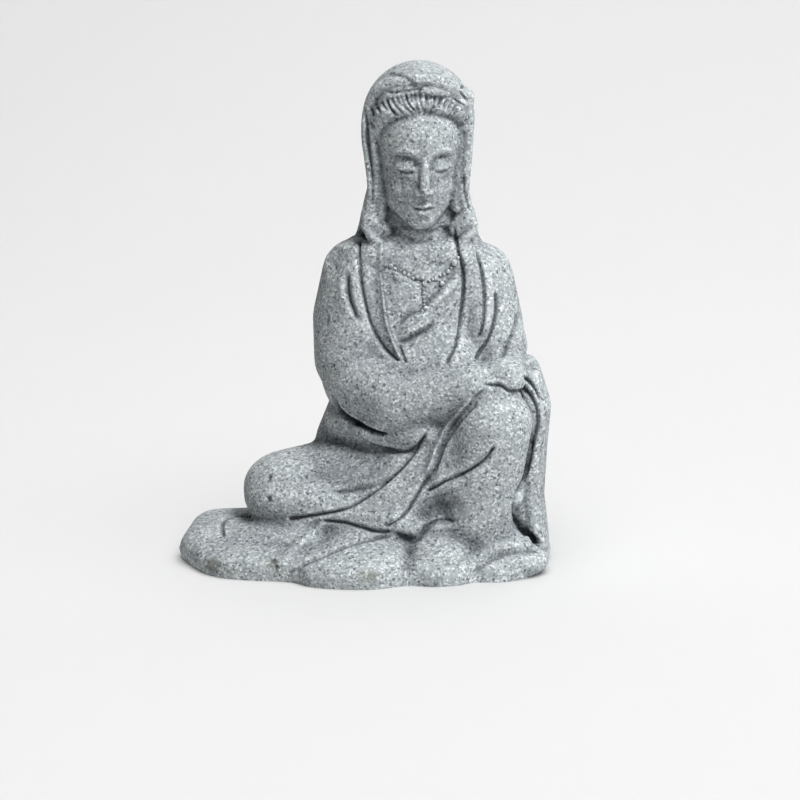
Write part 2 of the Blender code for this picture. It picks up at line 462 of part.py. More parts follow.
def carve(where, outward, lift, line, line_normals, kind, depth, width):
    """Adds one line's relief, in figure millimetres deep and wide, to the lift of each vertex."""
    depth, width = depth * MM, max(width, FINEST_LINE) * MM
    reach = 5 * width
    near = np.flatnonzero(((where > line.min(0) - reach) & (where < line.max(0) + reach)).all(1))
    starts, runs = line[:-1], line[1:] - line[:-1]
    lengths = np.maximum((runs**2).sum(1), 1e-18)
    from_start = where[near, None, :] - starts[None]
    along = np.clip((from_start * runs).sum(2) / lengths, 0, 1)
    away = from_start - along[..., None] * runs
    apart = np.sqrt((away**2).sum(2))
    nearest = apart.argmin(1)
    rows = np.arange(len(near))
    apart = apart[rows, nearest]
    travelled = np.concatenate(([0], np.cumsum(np.sqrt(lengths))))
    place_along = travelled[nearest] + along[rows, nearest] * np.sqrt(lengths)[nearest]
    total = travelled[-1]
    taper_run = min(4 * width, 0.35 * total) + 1e-12
    ends = np.clip(np.minimum(place_along, total - place_along) / taper_run, 0, 1)
    ends = ends * ends * (3 - 2 * ends)
    facing = np.clip(1.6 * (outward[near] * line_normals[nearest]).sum(1) + 0.2, 0, 1)
    if kind == "lap":
        left = np.cross(line_normals[nearest], runs[nearest])
        side = (away[rows, nearest] * left).sum(1) / np.maximum(np.linalg.norm(left, axis=1), 1e-12)
        over = 0.5 + 0.5 * np.tanh(side / (0.35 * width))
        relief = over * np.exp(-np.maximum(side, 0) / (2.2 * width)) * 0.55
        relief = relief - (1 - over) * np.exp(-((side / (1.6 * width)) ** 2)) * 0.75
        relief = relief * np.exp(-np.maximum(apart - np.abs(side), 0) / width)
        relief = np.where(ends > 0, relief, 0)
    else:
        relief = np.exp(-((apart / width) ** 2)) * (1 if kind == "ridge" else -1)
    lift[near] += depth * relief * ends * facing


def carved(clay):
    """The clay with all of its lines carved."""
    tree = BVHTree.FromPolygons([v.co for v in clay.vertices], [p.vertices for p in clay.polygons])
    count = len(clay.vertices)
    where, outward = np.empty(count * 3), np.empty(count * 3)
    clay.vertices.foreach_get("co", where)
    clay.vertices.foreach_get("normal", outward)
    where, outward = where.reshape(-1, 3), outward.reshape(-1, 3)
    lift = np.zeros(count)

    viewpoint = Vector((0, -SIGHT_DISTANCE * math.cos(SIGHT_RISE), SIGHT_DISTANCE * math.sin(SIGHT_RISE)))
    viewpoint.z += SIGHT_HEIGHT
    for kind, depth, width, points in CARVING:
        line, normals = traced(points, tree, lambda point: viewpoint, on_picture_plane)
        carve(where, outward, lift, line, normals, kind, depth, width)

    turns = {"right": math.radians(90), "back": math.radians(180), "left": math.radians(270)}
    for side, lines in SIDE_CARVING.items():
        turn = Matrix.Rotation(turns[side], 3, "Z")

        def far_off(point, turn=turn):
            return turn @ place((point[0], -200, point[1]))

        def middle(point, turn=turn):
            return turn @ place((point[0], 0, point[1]))

        for kind, depth, width, points in lines:
            line, normals = traced(points, tree, far_off, middle)
            carve(where, outward, lift, line, normals, kind, depth, width)

    def face_front(point):
        return place(head_point(point[0], 40, point[1]))

    def face_middle(point):
        return place(head_point(point[0], 0, point[1]))

    strands = []
    for strand in range(HAIR_STRANDS):
        share = strand / (HAIR_STRANDS - 1) * 2 - 1
        low = (share * 7.2 + 3.4 * share**3, 15.4 - 5.4 * abs(share) ** 3)
        high = (share * 10.8, 23.0 - 6.5 * abs(share) ** 2.6)
        middle = ((low[0] + high[0]) / 2 + 0.9 * share, (low[1] + high[1]) / 2 + 0.4)
        strands.append(("groove", STRAND_DEPTH, 0.33, (low, middle, high)))
    for kind, depth, width, points in (*FACE_CARVING, *strands):
        line, normals = traced(points, tree, face_front, face_middle)
        carve(where, outward, lift, line, normals, kind, depth, width)
    where += outward * lift[:, None]
    clay.vertices.foreach_set("co", where.ravel())
    clay.update()
    return clay


def thinned(clay):
    """The clay with its triangles brought down to what the solid may hold."""
    piece = bpy.data.objects.new("thinned", clay)
    bpy.context.scene.collection.objects.link(piece)
    reduce = piece.modifiers.new("reduce", "DECIMATE")
    reduce.ratio = FINISHED_TRIANGLES / (2 * len(clay.polygons))
    result = evaluated_copy(piece)
    bpy.data.objects.remove(piece)
    return result


def cut_flat(data):
    """Cuts the underside flat at the ground and closes it."""
    mesh = bmesh.new()
    mesh.from_mesh(data)
    parts = [*mesh.verts, *mesh.edges, *mesh.faces]
    ground, upward = (0, 0, 0), (0, 0, 1)
    bmesh.ops.bisect_plane(mesh, geom=parts, dist=1e-7, plane_co=ground, plane_no=upward, clear_inner=True)
    on_ground = [vertex for vertex in mesh.verts if abs(vertex.co.z) < 1e-7]
    bmesh.ops.remove_doubles(mesh, verts=on_ground, dist=0.15 * MM)
    bmesh.ops.edgeloop_fill(mesh, edges=[edge for edge in mesh.edges if len(edge.link_faces) == 1])
    bmesh.ops.triangulate(mesh, faces=mesh.faces)
    bmesh.ops.recalc_face_normals(mesh, faces=mesh.faces)
    mesh.to_mesh(data)
    mesh.free()


def stone():
    material = bpy.data.materials.new("cast_stone")
    material.use_nodes = True
    surface = material.node_tree.nodes["Principled BSDF"]
    surface.inputs["Base Color"].default_value = STONE_GREY
    surface.inputs["Roughness"].default_value = STONE_ROUGHNESS
    return material


def main():
    for obj in list(bpy.data.objects):
        bpy.data.objects.remove(obj)
    form = thinned(carved(block_out()))
    cut_flat(form)
    form.materials.append(stone())
    statue = bpy.data.objects.new("statue", form)
    bpy.context.scene.collection.objects.link(statue)


main()
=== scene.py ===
import math
import bmesh
import bpy
import numpy as np
from mathutils import Matrix, Vector
from mathutils.bvhtree import BVHTree


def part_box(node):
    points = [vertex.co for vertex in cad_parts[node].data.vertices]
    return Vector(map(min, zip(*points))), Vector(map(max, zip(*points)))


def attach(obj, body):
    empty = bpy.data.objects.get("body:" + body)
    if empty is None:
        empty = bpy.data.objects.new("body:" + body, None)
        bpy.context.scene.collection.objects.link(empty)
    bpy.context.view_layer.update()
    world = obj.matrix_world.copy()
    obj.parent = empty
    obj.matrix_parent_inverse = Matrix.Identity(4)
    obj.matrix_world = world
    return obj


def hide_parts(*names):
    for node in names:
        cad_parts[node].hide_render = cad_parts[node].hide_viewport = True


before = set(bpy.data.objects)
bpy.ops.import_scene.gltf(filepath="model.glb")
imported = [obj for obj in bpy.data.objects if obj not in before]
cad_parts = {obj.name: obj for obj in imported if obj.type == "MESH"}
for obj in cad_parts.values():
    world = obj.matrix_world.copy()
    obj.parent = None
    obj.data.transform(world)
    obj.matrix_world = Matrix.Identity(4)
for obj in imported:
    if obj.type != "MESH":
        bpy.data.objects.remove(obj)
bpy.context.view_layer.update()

lowest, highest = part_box("statue")

# One figure millimetre, and the fineness of the clay
mm = (highest[2] - lowest[2]) / 130
hemWidth, hemDepth, hemThickness = 98 * mm, 75 * mm, 7.5 * mm
edgeLoss = 0.06 * mm  # what the smoothing takes off the hem's edge
softVoxel, softSmoothing = 0.9 * mm, 10
firmVoxel, firmSmoothing = 0.34 * mm, 5
finestLine = 0.4
roundness = 4  # how often each ball is subdivided
rollSteps, lineSteps = 4, 10  # of a curve, between two of its drawn points
mostTriangles = 178000  # leaves room for the beads

# Where the picture plane is seen from, and how far off in figure millimetres the sides and the face are
sightDistance, sightRise, sightHeight = 850 * mm, math.radians(12), 60 * mm
viewpoint = Vector((0, -sightDistance * math.cos(sightRise), sightDistance * math.sin(sightRise)))
viewpoint.z += sightHeight
sideDistance, faceDistance = 200, 40

# Each mass is the skin stretched over two or more balls: centre and half sizes, in figure millimetres
hips = (
    (((14, 11, 16), (28, 25.5, 14)), ((14, 10, 38), (23.5, 18, 12))),
    (((14, 10, 38), (23.5, 18, 12)), ((14, 8, 66), (22, 14, 11))),
)
shoulders = (
    (((14, 8, 66), (22, 14, 11)), ((14, 5, 81), (17, 9, 6.5))),
    (((0.5, 5, 75), (11.5, 11, 9)), ((-1.7, 4, 63), (11.9, 12, 10)), ((-2, 0, 52.5), (11.3, 12, 10.5))),
    (((28.5, 5, 74), (10.5, 10.5, 8.5)), ((34, -1, 56), (8.8, 11, 10))),
    (((14, 2.5, 75), (17, 9.5, 8)), ((15, -1.5, 55), (19, 12, 10))),
    (((16, -4, 55), (15, 11, 8)), ((18, -7, 46), (12, 10, 7))),
    (((12, -9.5, 53), (7, 7, 5)), ((24, -11, 54), (7, 7, 5)), ((18, -5, 62), (8, 7, 5))),
    (((3, -0.5, 80), (4.5, 5, 5)), ((25.5, -0.5, 80), (4.5, 5, 5))),
)
forearms = (
    (((0, -3, 48), (11.2, 12, 11)), ((9, -14.0, 44), (9, 7.5, 8.5))),
    (((9, -14.0, 44), (9, 7.5, 8.5)), ((29, -17.5, 48.5), (7.5, 6.5, 6.5))),
    (((5, -10, 36), (9, 7, 4)), ((16, -15, 36), (5, 6, 4))),
    (((-1.5, -2, 37), (9.2, 10, 6)), ((8, -9, 34), (9, 8, 5))),
    (((-1, 3, 39), (8.6, 9, 6)), ((-4.6, 4, 30.6), (8.4, 10, 4.6))),
    (((35, -3, 52), (7.5, 8, 8)), ((36, -17, 51), (6, 5.5, 5))),
)
foldedLeg = (
    (((6, 6, 20), (14, 14, 12)), ((-19.5, -4, 18.5), (12.6, 13, 9.8))),
    (((-19.5, -6, 17), (12.4, 12.5, 9)), ((10, -17, 13), (11, 8, 7))),
    (((-8, -3, 20), (12, 11, 10.5)), ((10, -9, 26), (10, 9, 8.5)), ((9, -15, 18), (9, 8, 8))),
)
raisedLeg = (
    (((27, 6, 26), (13, 13, 12)), ((33, -18, 39), (10.3, 9.5, 10))),
    (((33, -18.5, 39), (10.3, 9.5, 10)), ((29, -19, 14), (9.8, 8.5, 8))),
)
lap = (
    (((22, -13, 38), (9, 6, 5)), ((6, -16, 15), (12, 7.5, 6)), ((24, -18, 15), (9, 8, 6))),
    (((28, -14, 40), (9, 8, 6)), ((24, -17, 26), (9, 8, 6)), ((34, -17, 26), (7, 8, 6))),
    (((23, -17.5, 25), (8, 8, 5)), ((24, -18.5, 15), (7, 8, 5)), ((33, -18.5, 20), (8, 8, 6))),
    (((24.5, -19.4, 24), (6, 7, 6)), ((25.5, -18.8, 15), (5.5, 7.6, 4.5)), ((30, -19, 20), (8, 8.4, 8))),
)
neck = (
    (((14, 5, 78), (10.5, 8, 5)), ((14, 3, 90), (7, 7.5, 6))),
)
veil = (
    (((14, 9, 95), (13.6, 10, 6)), ((14, 14, 76), (17.6, 10.4, 8))),
    (((14, 14, 76), (17, 10, 8)), ((14, 17, 58), (17, 9, 6))),
)
hood = (
    (((14.2, 5, 115), (14.6, 14, 15)), ((14, 7, 98), (12.6, 10, 8)), ((14, -1, 118.6), (11.5, 8, 9.4))),
    (((14, 7, 98), (12.6, 10, 8)), ((14.1, 7, 88.5), (14.4, 10, 3))),
    (((1.4, 2.5, 88), (2.4, 3.6, 3.6)), ((5.5, 1.5, 83.5), (3.0, 3.4, 2.6)), ((6.5, 4, 92), (3.6, 4, 6))),
    (((26.2, -3.2, 122.0), (2.2, 3, 2.0)), ((25.6, -2.5, 114), (2.2, 3, 3))),
    (((14.4, -6.2, 125.8), (4.5, 3.6, 3.4)), ((20.4, -5.0, 124.4), (3.2, 3.4, 3.2)),
     ((14.2, 4, 117), (13.6, 13, 13))),
    (((14.2, -2.6, 125.6), (8.0, 4, 3.8)), ((14.2, 5, 115), (14.6, 14, 15))),
    (((1.6, -1.4, 90), (2.6, 2.4, 4)), ((4.2, -0.6, 86.5), (3, 2.2, 2.6))),
    (((26.6, -1.4, 90), (2.4, 2.4, 4)), ((24.6, -1.0, 87), (2.6, 2.2, 2.4))),
    (((8.6, -5.2, 124.6), (3.4, 3.4, 3.0)), ((14.4, -6.2, 125.8), (4.5, 3.6, 3.4)),
     ((14.2, 4, 117), (13.6, 13, 13))),
    (((27.0, 2.5, 88), (2.4, 3.6, 3.4)), ((24.0, 1.5, 84), (3.0, 3.4, 2.6)), ((21.8, 4, 92), (3.6, 4, 6))),
)

# The head is built square and then turned and nodded about its middle: across, forward of it, up from it
headMiddle = (14, 0.5, 103.3)
headTurn = math.radians(8.0)
headNod = math.radians(7.0)
head = (
    (((0, -1, 8), (12.0, 12, 13)), ((0, 1.4, -6.4), (9.2, 8.4, 7.6)), ((0, 6.7, -11.9), (4.2, 3.5, 3.1))),
    (((-4.2, 4.0, -3.4), (4.7, 4.6, 5.6)), ((4.2, 4.0, -3.4), (4.7, 4.6, 5.6))),
)
features = (
    (((0, 9.7, 5.2), (1.3, 1.1, 1.8)), ((0, 11.7, -3.5), (1.3, 1.6, 1.3))),
    (((0, 8.9, 3.6), (2.1, 1.3, 2.0)), ((0, 9.5, -3.6), (2.7, 1.6, 1.3))),
    (((-1.6, 10.5, -4.1), (1.0, 1.1, 0.9)), ((1.6, 10.5, -4.1), (1.0, 1.1, 0.9))),
    (((-5.7, 8.2, 2.2), (1.7, 1.2, 1.2)), ((-4.0, 8.7, 2.2), (1.7, 1.3, 1.4))),
    (((5.7, 8.2, 2.2), (1.7, 1.2, 1.2)), ((4.0, 8.7, 2.2), (1.7, 1.3, 1.4))),
    (((0, 7.5, -8.4), (4.0, 2.7, 3.0)), ((0, 7.0, -9.8), (3.6, 2.6, 2.6))),
    (((0, 10.95, 7.4), (0.55, 0.5, 0.55)), ((0, 10.5, 7.4), (0.55, 0.5, 0.55))),
)

# Combed hair between the brow and the hood, and the lock that falls beside each cheek: how thick each roll
# is, and its points in the head's own measures
hair = (
    (5.6, ((-11.2, 1.2, 8), (-10.4, 3.0, 12.6), (-8.4, 5.0, 16.2), (-4.4, 6.2, 17.8), (0, 6.6, 18.0),
           (4.4, 6.2, 17.8), (8.4, 5.0, 16.2), (10.4, 3.0, 12.6), (11.2, 1.2, 8))),
    (4.4, ((-10.4, 2.4, 15), (-7.8, 4.6, 20), (-3.8, 5.9, 21.6), (0, 6.3, 21.8), (3.8, 5.9, 21.6),
           (7.8, 4.6, 20), (10.4, 2.4, 15))),
    (4.0, ((-11.8, 1.8, 6), (-11.4, 1.6, -2), (-10.6, 1.4, -9), (-10.2, 1, -16))),
    (4.0, ((11.8, 1.8, 6), (11.4, 1.6, -2), (10.6, 1.4, -9), (10.2, 1, -16))),
)

# The hood's lining, which lies close to the temples and cheeks: how thick each roll is, and its points
hoodLining = (
    (3.0, ((3.6, -2.6, 118), (3.6, -3.0, 110), (3.8, -2.6, 102), (4.4, -2.0, 96), (4.2, -1.6, 91))),
    (3.4, ((5.4, -2.6, 112), (5.6, -2.4, 104), (6.4, -1.6, 97))),
    (3.0, ((24.4, -3.8, 119), (24.8, -3.6, 112), (24.4, -3.2, 105), (23.8, -2.4, 99), (24.0, -2.0, 93))),
)

# The hem where it spills from the legs: the pad on the left, the tongue in front, the folds on the right
hemLobes = (
    (((-34.4, -7, 3.8), (14.4, 14.6, 6.2)), ((-38.6, 5.5, 5.0), (7.8, 7.6, 4.8)),
     ((-16, -14, 6), (12, 12, 7)), ((-22, 7, 5), (9, 9, 4.6))),
    (((-3, -28, 3.5), (12, 8, 4.5)), ((0, -18, 7), (13, 7, 6))),
    (((19, -25.4, 4.4), (9.6, 7.6, 4.8)), ((20, -18, 8), (10, 7, 6.4))),
    (((39, -20, 3.2), (9, 9, 4.4)), ((32, -18, 7), (9, 9, 7))),
)

# The rolled front edge of the hood, from the left shoulder over the brow to the right one
hoodRim = (
    (5.6, -3.0, 81.5), (2.6, -2.8, 84.6), (0.6, -2.2, 87.6), (1.4, -2.2, 92), (2.2, -3.0, 98),
    (1.5, -3.4, 105), (0.7, -3.6, 111), (0.9, -4, 116.5), (2.2, -5.2, 121.4), (4.8, -7, 124.6),
    (8.5, -8.6, 126.2), (12, -9.4, 126.8), (16, -9.6, 127), (20, -9, 126.2), (23.5, -7.4, 124.2),
    (26.0, -5, 120), (26.8, -3.8, 114), (26.4, -3.4, 105), (25.8, -2.8, 97), (26.8, -2.2, 91.5),
    (28.2, -2.2, 87.6), (26.4, -2.8, 84.8), (24.2, -3.0, 82),
)
rimThickness = 2.8
rimDepth = 5.0

# The sleeve's hanging end beside the raised knee: middle of each section, and its half sizes
sideFall = (
    ((41.8, -8, 50), (4.2, 6, 5)), ((44.8, -10, 42), (3.7, 7, 5)), ((43.8, -9, 31), (3.9, 7, 5)),
    ((42.8, -9, 18), (4.2, 8, 5)), ((45.0, -9, 6), (3.4, 10, 5)),
)
fallBacking = (
    (((36, 1, 48), (9, 8, 8)), ((37.5, -2, 26), (9, 10, 8)), ((38, -1, 8), (9.6, 11, 8))),
    (((38.6, -8.5, 30), (5.4, 8, 8)), ((39.4, -9, 9), (6.4, 9, 8))),
)

# Plan of the hem's edge, anticlockwise from the left end
hemEdge = (
    (-49, -4), (-46.5, -14), (-42, -22.5), (-36, -27), (-28, -29), (-19.5, -30.5), (-14, -35),
    (-5, -37.4), (3, -37.2), (11, -34.2), (18, -35.2), (24.5, -33.8), (28.5, -31.2), (35, -31.2),
    (42, -27.5), (46.5, -18), (49, -7), (47.5, 6), (43, 18), (34, 29), (24, 35.5), (13, 37.5), (1, 35.5),
    (-11, 28), (-22, 20), (-32, 13.5), (-42, 8.5),
)

# Over the hem's edge: share of its plan, share of its thickness, for the soft body and the firm edge
hemTop = ((0.93, 0.82), (0.8, 1.1), (0.6, 1.35), (0.3, 1.4))
hemRim = ((0.95, 0.66), (0.88, 0.6))

# Carved lines, as drawn on the picture plane: millimetres across and up.
# A groove sinks, a ridge rises; a lap is the edge of a cloth that lies over another, on the line's left.
# kind, how deep or high, how wide, points
carving = (
    # lapels
    ("groove", 1.0, 0.4, ((-1.1, 83.6), (-1.5, 80.3), (-1.3, 75.5), (-0.8, 71.4), (0.3, 66.6),
                          (1.6, 61.8), (3.5, 57.4), (5.5, 54.6), (7.9, 52.5), (9.6, 51.8))),
    ("lap", 0.7, 0.9, ((9.6, 51.8), (5.5, 54.6), (1.6, 61.8), (-0.8, 71.4), (-1.5, 80.3))),
    ("lap", 0.7, 0.5, ((5.4, 83.4), (5.1, 79.6), (4.8, 75.4), (5.1, 71.5), (5.6, 67.9), (6.0, 64.2),
                       (6.7, 60.6), (7.7, 57.7), (8.7, 55.3), (9.7, 53.2), (11.2, 51.0))),
    ("ridge", 0.9, 0.5, ((4.6, 83.4), (4.3, 74.7), (4.7, 71.0), (5.5, 64.2), (6.2, 60.6), (7.3, 57.5),
                           (8.6, 54.2), (10.0, 51.8))),
    ("groove", 0.9, 0.4, ((8.8, 56.4), (9.7, 54.0), (10.5, 52.2), (11.3, 50.8))),
    ("groove", 1.0, 0.4, ((23.4, 87.2), (23.8, 84.1), (24.4, 81.5), (25.0, 79.1), (25.7, 76.8),
                          (26.05, 73.6), (26.0, 70.5), (25.8, 67.3), (25.5, 64.2), (25.2, 61.1),
                          (24.6, 57.9), (23.7, 55.3), (22.4, 52.7), (21.2, 50.6))),
    ("lap", 0.7, 0.6, ((24.4, 82.5), (26.05, 73.6), (25.5, 64.2), (24.0, 56.0), (21.2, 50.6))),
    ("groove", 0.9, 0.4, ((28.1, 83.8), (29.5, 81.0), (30.5, 77.0), (31.1, 73.0), (31.5, 69.0),
                          (31.4, 65.0), (30.7, 60.6), (29.6, 57.4))),
    ("lap", 0.6, 0.8, ((28.3, 83.4), (30.5, 77.0), (31.5, 69.0), (30.9, 61.0))),
    # the bed that the beads lie in
    ("groove", 0.5, 0.7, ((5.6, 76.9), (9.2, 75.4), (12.7, 73.4), (16.0, 72.4), (18.7, 73.0), (21.8, 75.1),
                          (24.4, 78.7))),
    ("groove", 0.5, 0.7, ((15.7, 72.6), (15.5, 69.4), (15.6, 66.4), (15.6, 64.2))),
    # neck
    ("groove", 0.4, 0.45, ((8.6, 87.6), (11.4, 86.6), (14.6, 85.6), (18.0, 85.8), (20.6, 87.0))),
    ("groove", 0.3, 0.45, ((10.4, 84.4), (14.4, 83.0), (18.6, 83.8))),
    # sleeves
    ("groove", 1.2, 0.45, ((34.3, 70.4), (34.5, 66.6), (34.0, 62.6), (32.3, 57.8), (30.3, 54.4),
                           (29.0, 52.0))),
    ("ridge", 0.4, 1.1, ((36.2, 70.0), (36.1, 65.0), (34.7, 58.0))),
    ("groove", 1.1, 0.9, ((40.3, 65.0), (39.9, 61.1), (38.7, 57.8), (36.8, 54.6), (35.0, 52.0))),
    ("groove", 1.2, 0.7, ((-4.2, 75.2), (-4.5, 71.4), (-3.7, 67.4), (-2.5, 64.2), (-1.1, 61.8))),
    ("ridge", 0.5, 0.9, ((-5.9, 74.6), (-6.2, 70.4), (-5.2, 66.0))),
    ("ridge", 0.4, 0.8, ((-3.0, 75.5), (-3.0, 70.6), (-1.8, 66.0))),
    # the robe's edge across the breast and its rolled sash
    ("lap", 0.9, 1.0, ((25.2, 76.0), (22.6, 73.1), (20.8, 71.3), (19.0, 68.9), (16.9, 66.6),
                       (15.0, 64.7), (12.7, 63.7), (10.9, 62.4), (9.3, 61.1), (7.4, 60.0))),
    ("lap", 1.5, 0.8, ((7.6, 57.6), (9.3, 57.4), (10.9, 57.9), (12.4, 58.6), (14.0, 59.5), (15.8, 60.5),
                       (18.6, 63.0))),
    ("ridge", 1.0, 1.0, ((25.4, 73.8), (22.4, 70.9), (19.6, 67.8), (17.0, 65.0))),
    ("ridge", 0.7, 1.4, ((8.4, 59.2), (11.5, 60.2), (15.0, 62.6), (18.6, 66.0))),
    ("groove", 0.3, 0.4, ((8.2, 59.8), (11.2, 60.4), (14.4, 62.6))),
    # the near sleeve's lower edges
    ("groove", 1.6, 0.45, ((-8.4, 44.0), (-7.4, 42.0), (-6.2, 39.8), (-3.7, 37.2), (-0.1, 34.9),
                           (3.0, 33.3), (6.4, 32.4))),
    ("groove", 1.3, 0.45, ((-9.2, 43.4), (-8.0, 40.9), (-6.3, 38.6), (-4.2, 36.7), (-1.4, 34.9))),
    ("lap", 1.6, 0.9, ((-8.6, 44.4), (-6.2, 39.8), (-0.1, 34.9), (6.4, 32.4))),
    ("lap", 1.4, 1.0, ((-1.6, 32.2), (2.3, 30.4), (6.3, 29.2), (10.3, 28.7), (13.5, 30.0), (16.4, 33.4))),
    # skirt over the folded leg
    ("groove", 1.3, 0.45, ((16.2, 33.4), (15.0, 31.0), (13.0, 27.6), (9.8, 23.7), (4.5, 19.1), (-2.1, 14.6),
                           (-6.7, 12.5), (-15.3, 10.9), (-20.6, 10.4))),
    ("lap", 0.8, 1.2, ((15.0, 31.0), (9.8, 23.7), (2.0, 17.4))),
    ("groove", 0.8, 0.8, ((7.6, 21.6), (3.4, 19.4), (-2.2, 18.3), (-9.4, 17.7))),
    ("groove", 1.0, 0.45, ((-11.6, 9.9), (-5.4, 9.3), (-1.2, 8.2), (3.4, 7.0), (7.6, 7.2))),
    # the long fold from the raised knee
    ("lap", 1.1, 0.8, ((14.4, 18.0), (17.6, 23.6), (19.3, 29.0), (22.3, 34.6), (25.5, 38.6),
                       (28.7, 42.6), (31.9, 45.0))),
    ("ridge", 0.7, 0.55, ((15.6, 21.4), (17.4, 24.4), (19.1, 29.0), (22.0, 34.6), (25.2, 38.6),
                          (29.0, 42.8))),
    ("groove", 0.8, 0.45, ((17.6, 21.6), (19.2, 25.4), (20.7, 29.4), (23.7, 34.2), (26.8, 38.0),
                           (29.8, 41.0))),
    ("groove", 1.2, 0.45, ((16.8, 22.6), (15.2, 19.4), (13.2, 16.0), (10.6, 11.9), (7.4, 9.2), (4.4, 8.0))),
    ("groove", 1.2, 0.45, ((34.3, 29.6), (31.2, 25.4), (26.0, 22.6), (21.3, 20.4), (15.6, 17.2))),
    ("lap", 0.7, 1.4, ((17.4, 18.6), (26.0, 22.6), (34.3, 29.6))),
    # hollow under the raised leg's skirt
    ("groove", 2.2, 3.2, ((9.6, 8.2), (14.6, 11.4), (20.0, 13.4), (26.6, 13.2))),
    ("groove", 1.0, 1.8, ((13.6, 8.4), (18.2, 10.2), (24.0, 10.6))),
    ("groove", 1.2, 0.8, ((6.6, 7.1), (11.1, 5.2), (13.7, 5.4), (16.4, 7.9), (20.3, 9.2), (25.0, 9.4))),
    # knee, hand and wrist
    ("groove", 0.9, 0.45, ((31.0, 45.7), (33.4, 45.4), (35.9, 45.0), (37.1, 44.2), (38.6, 43.7),
                           (41.6, 43.9))),
    ("groove", 0.3, 0.4, ((32.4, 47.6), (35.4, 47.2), (38.8, 46.4))),
    ("groove", 1.2, 0.45, ((41.6, 47.9), (43.6, 45.8), (45.2, 43.8), (46.2, 41.0))),
    ("groove", 1.3, 0.7, ((41.4, 44.6), (43.6, 41.8), (44.8, 38.6), (45.2, 34.6), (44.0, 30.6),
                          (43.4, 27.0))),
    ("groove", 1.1, 2.0, ((43.2, 51.8), (44.5, 50.4), (45.4, 48.6))),
    # the sleeve's hanging end, its edge beside the calf and over the hem
    ("groove", 1.1, 0.9, ((41.8, 20.6), (40.0, 13.4), (41.0, 9.0), (43.6, 5.8), (46.8, 3.2))),
    ("lap", 1.1, 1.3, ((43.8, 31.0), (43.2, 25.3), (41.2, 19.0), (39.6, 11.4), (43.2, 6.2), (47.4, 3.0))),
    ("groove", 1.3, 0.5, ((43.9, 31.0), (43.2, 25.3), (41.2, 19.0), (39.6, 11.4), (43.2, 6.2),
                          (46.8, 3.4))),
    # the hem's folds
    ("groove", 0.9, 0.8, ((7.6, 6.4), (2.0, 5.2), (-3.3, 3.9), (-10.8, 0.9), (-16.7, -1.9), (-18.4, -5.4))),
    ("ridge", 0.6, 1.2, ((-9.4, 10.2), (-14.0, 6.4), (-18.7, 2.4), (-21.4, -1.4), (-21.6, -5.0))),
    ("groove", 1.4, 1.9, ((9.6, 7.0), (11.3, 3.2), (11.0, -0.6), (10.4, -4.2), (9.4, -7.0))),
    ("ridge", 0.5, 1.2, ((28.0, -1.6), (31.0, 1.4), (35.0, 3.0), (41.0, 3.8))),
    ("groove", 1.0, 1.0, ((28.6, -6.0), (29.6, -3.8), (31.2, -1.4), (35.2, 0.7), (40.5, 1.7), (45.6, 2.4))),
    ("groove", 0.8, 0.4, ((-38.6, 9.6), (-36.4, 10.3), (-33.8, 11.0), (-29.6, 11.3))),
    ("groove", 0.9, 0.45, ((-36.4, 10.6), (-37.3, 9.2), (-37.4, 7.4), (-36.8, 5.6))),
    # hood: the fold that turns under over the brow, and the small hollow at the right
    ("lap", 0.6, 0.9, ((6.4, 127.0), (8.4, 126.9), (10.4, 126.4), (12.4, 125.2), (14.2, 123.9),
                       (16.4, 123.2))),
    ("groove", 0.7, 0.5, ((5.4, 121.9), (8.4, 121.9), (11.0, 122.2), (13.4, 122.6), (16.2, 122.9))),
    ("ridge", 0.9, 1.5, ((15.6, 122.8), (19.0, 122.4), (22.0, 121.9), (24.4, 120.8))),
    ("ridge", 0.9, 0.9, ((22.6, 121.4), (24.4, 120.5), (25.8, 119.2), (27.0, 117.4))),
    # under the hood's curl at the left shoulder
    ("groove", 1.8, 1.1, ((-3.4, 84.8), (-2.2, 85.6), (-1.0, 85.6), (0.8, 84.2))),
    ("groove", 1.2, 4.2, ((-10.2, 75.4), (-7.4, 79.0), (-4.4, 82.0))),
    # the creases of the hood's edge, beside the face and at its upper right
    ("groove", 0.9, 0.5, ((0.4, 117.4), (0.7, 112.0), (1.2, 107.0), (1.9, 102.0), (2.3, 97.0), (2.0, 92.0))),
    ("groove", 0.7, 0.5, ((1.3, 114.8), (2.1, 113.4), (3.3, 112.5))),
    ("groove", 0.4, 0.5, ((2.6, 111.2), (3.4, 108.0), (3.6, 104.4))),
    ("groove", 0.8, 0.5, ((26.1, 101.0), (26.0, 97.6), (26.8, 93.6), (28.2, 90.2))),
    ("groove", 0.9, 0.4, ((24.9, 122.8), (26.0, 121.0), (27.4, 119.5))),
    ("groove", 0.7, 0.4, ((24.9, 122.8), (26.6, 123.7), (28.4, 123.0))),
)

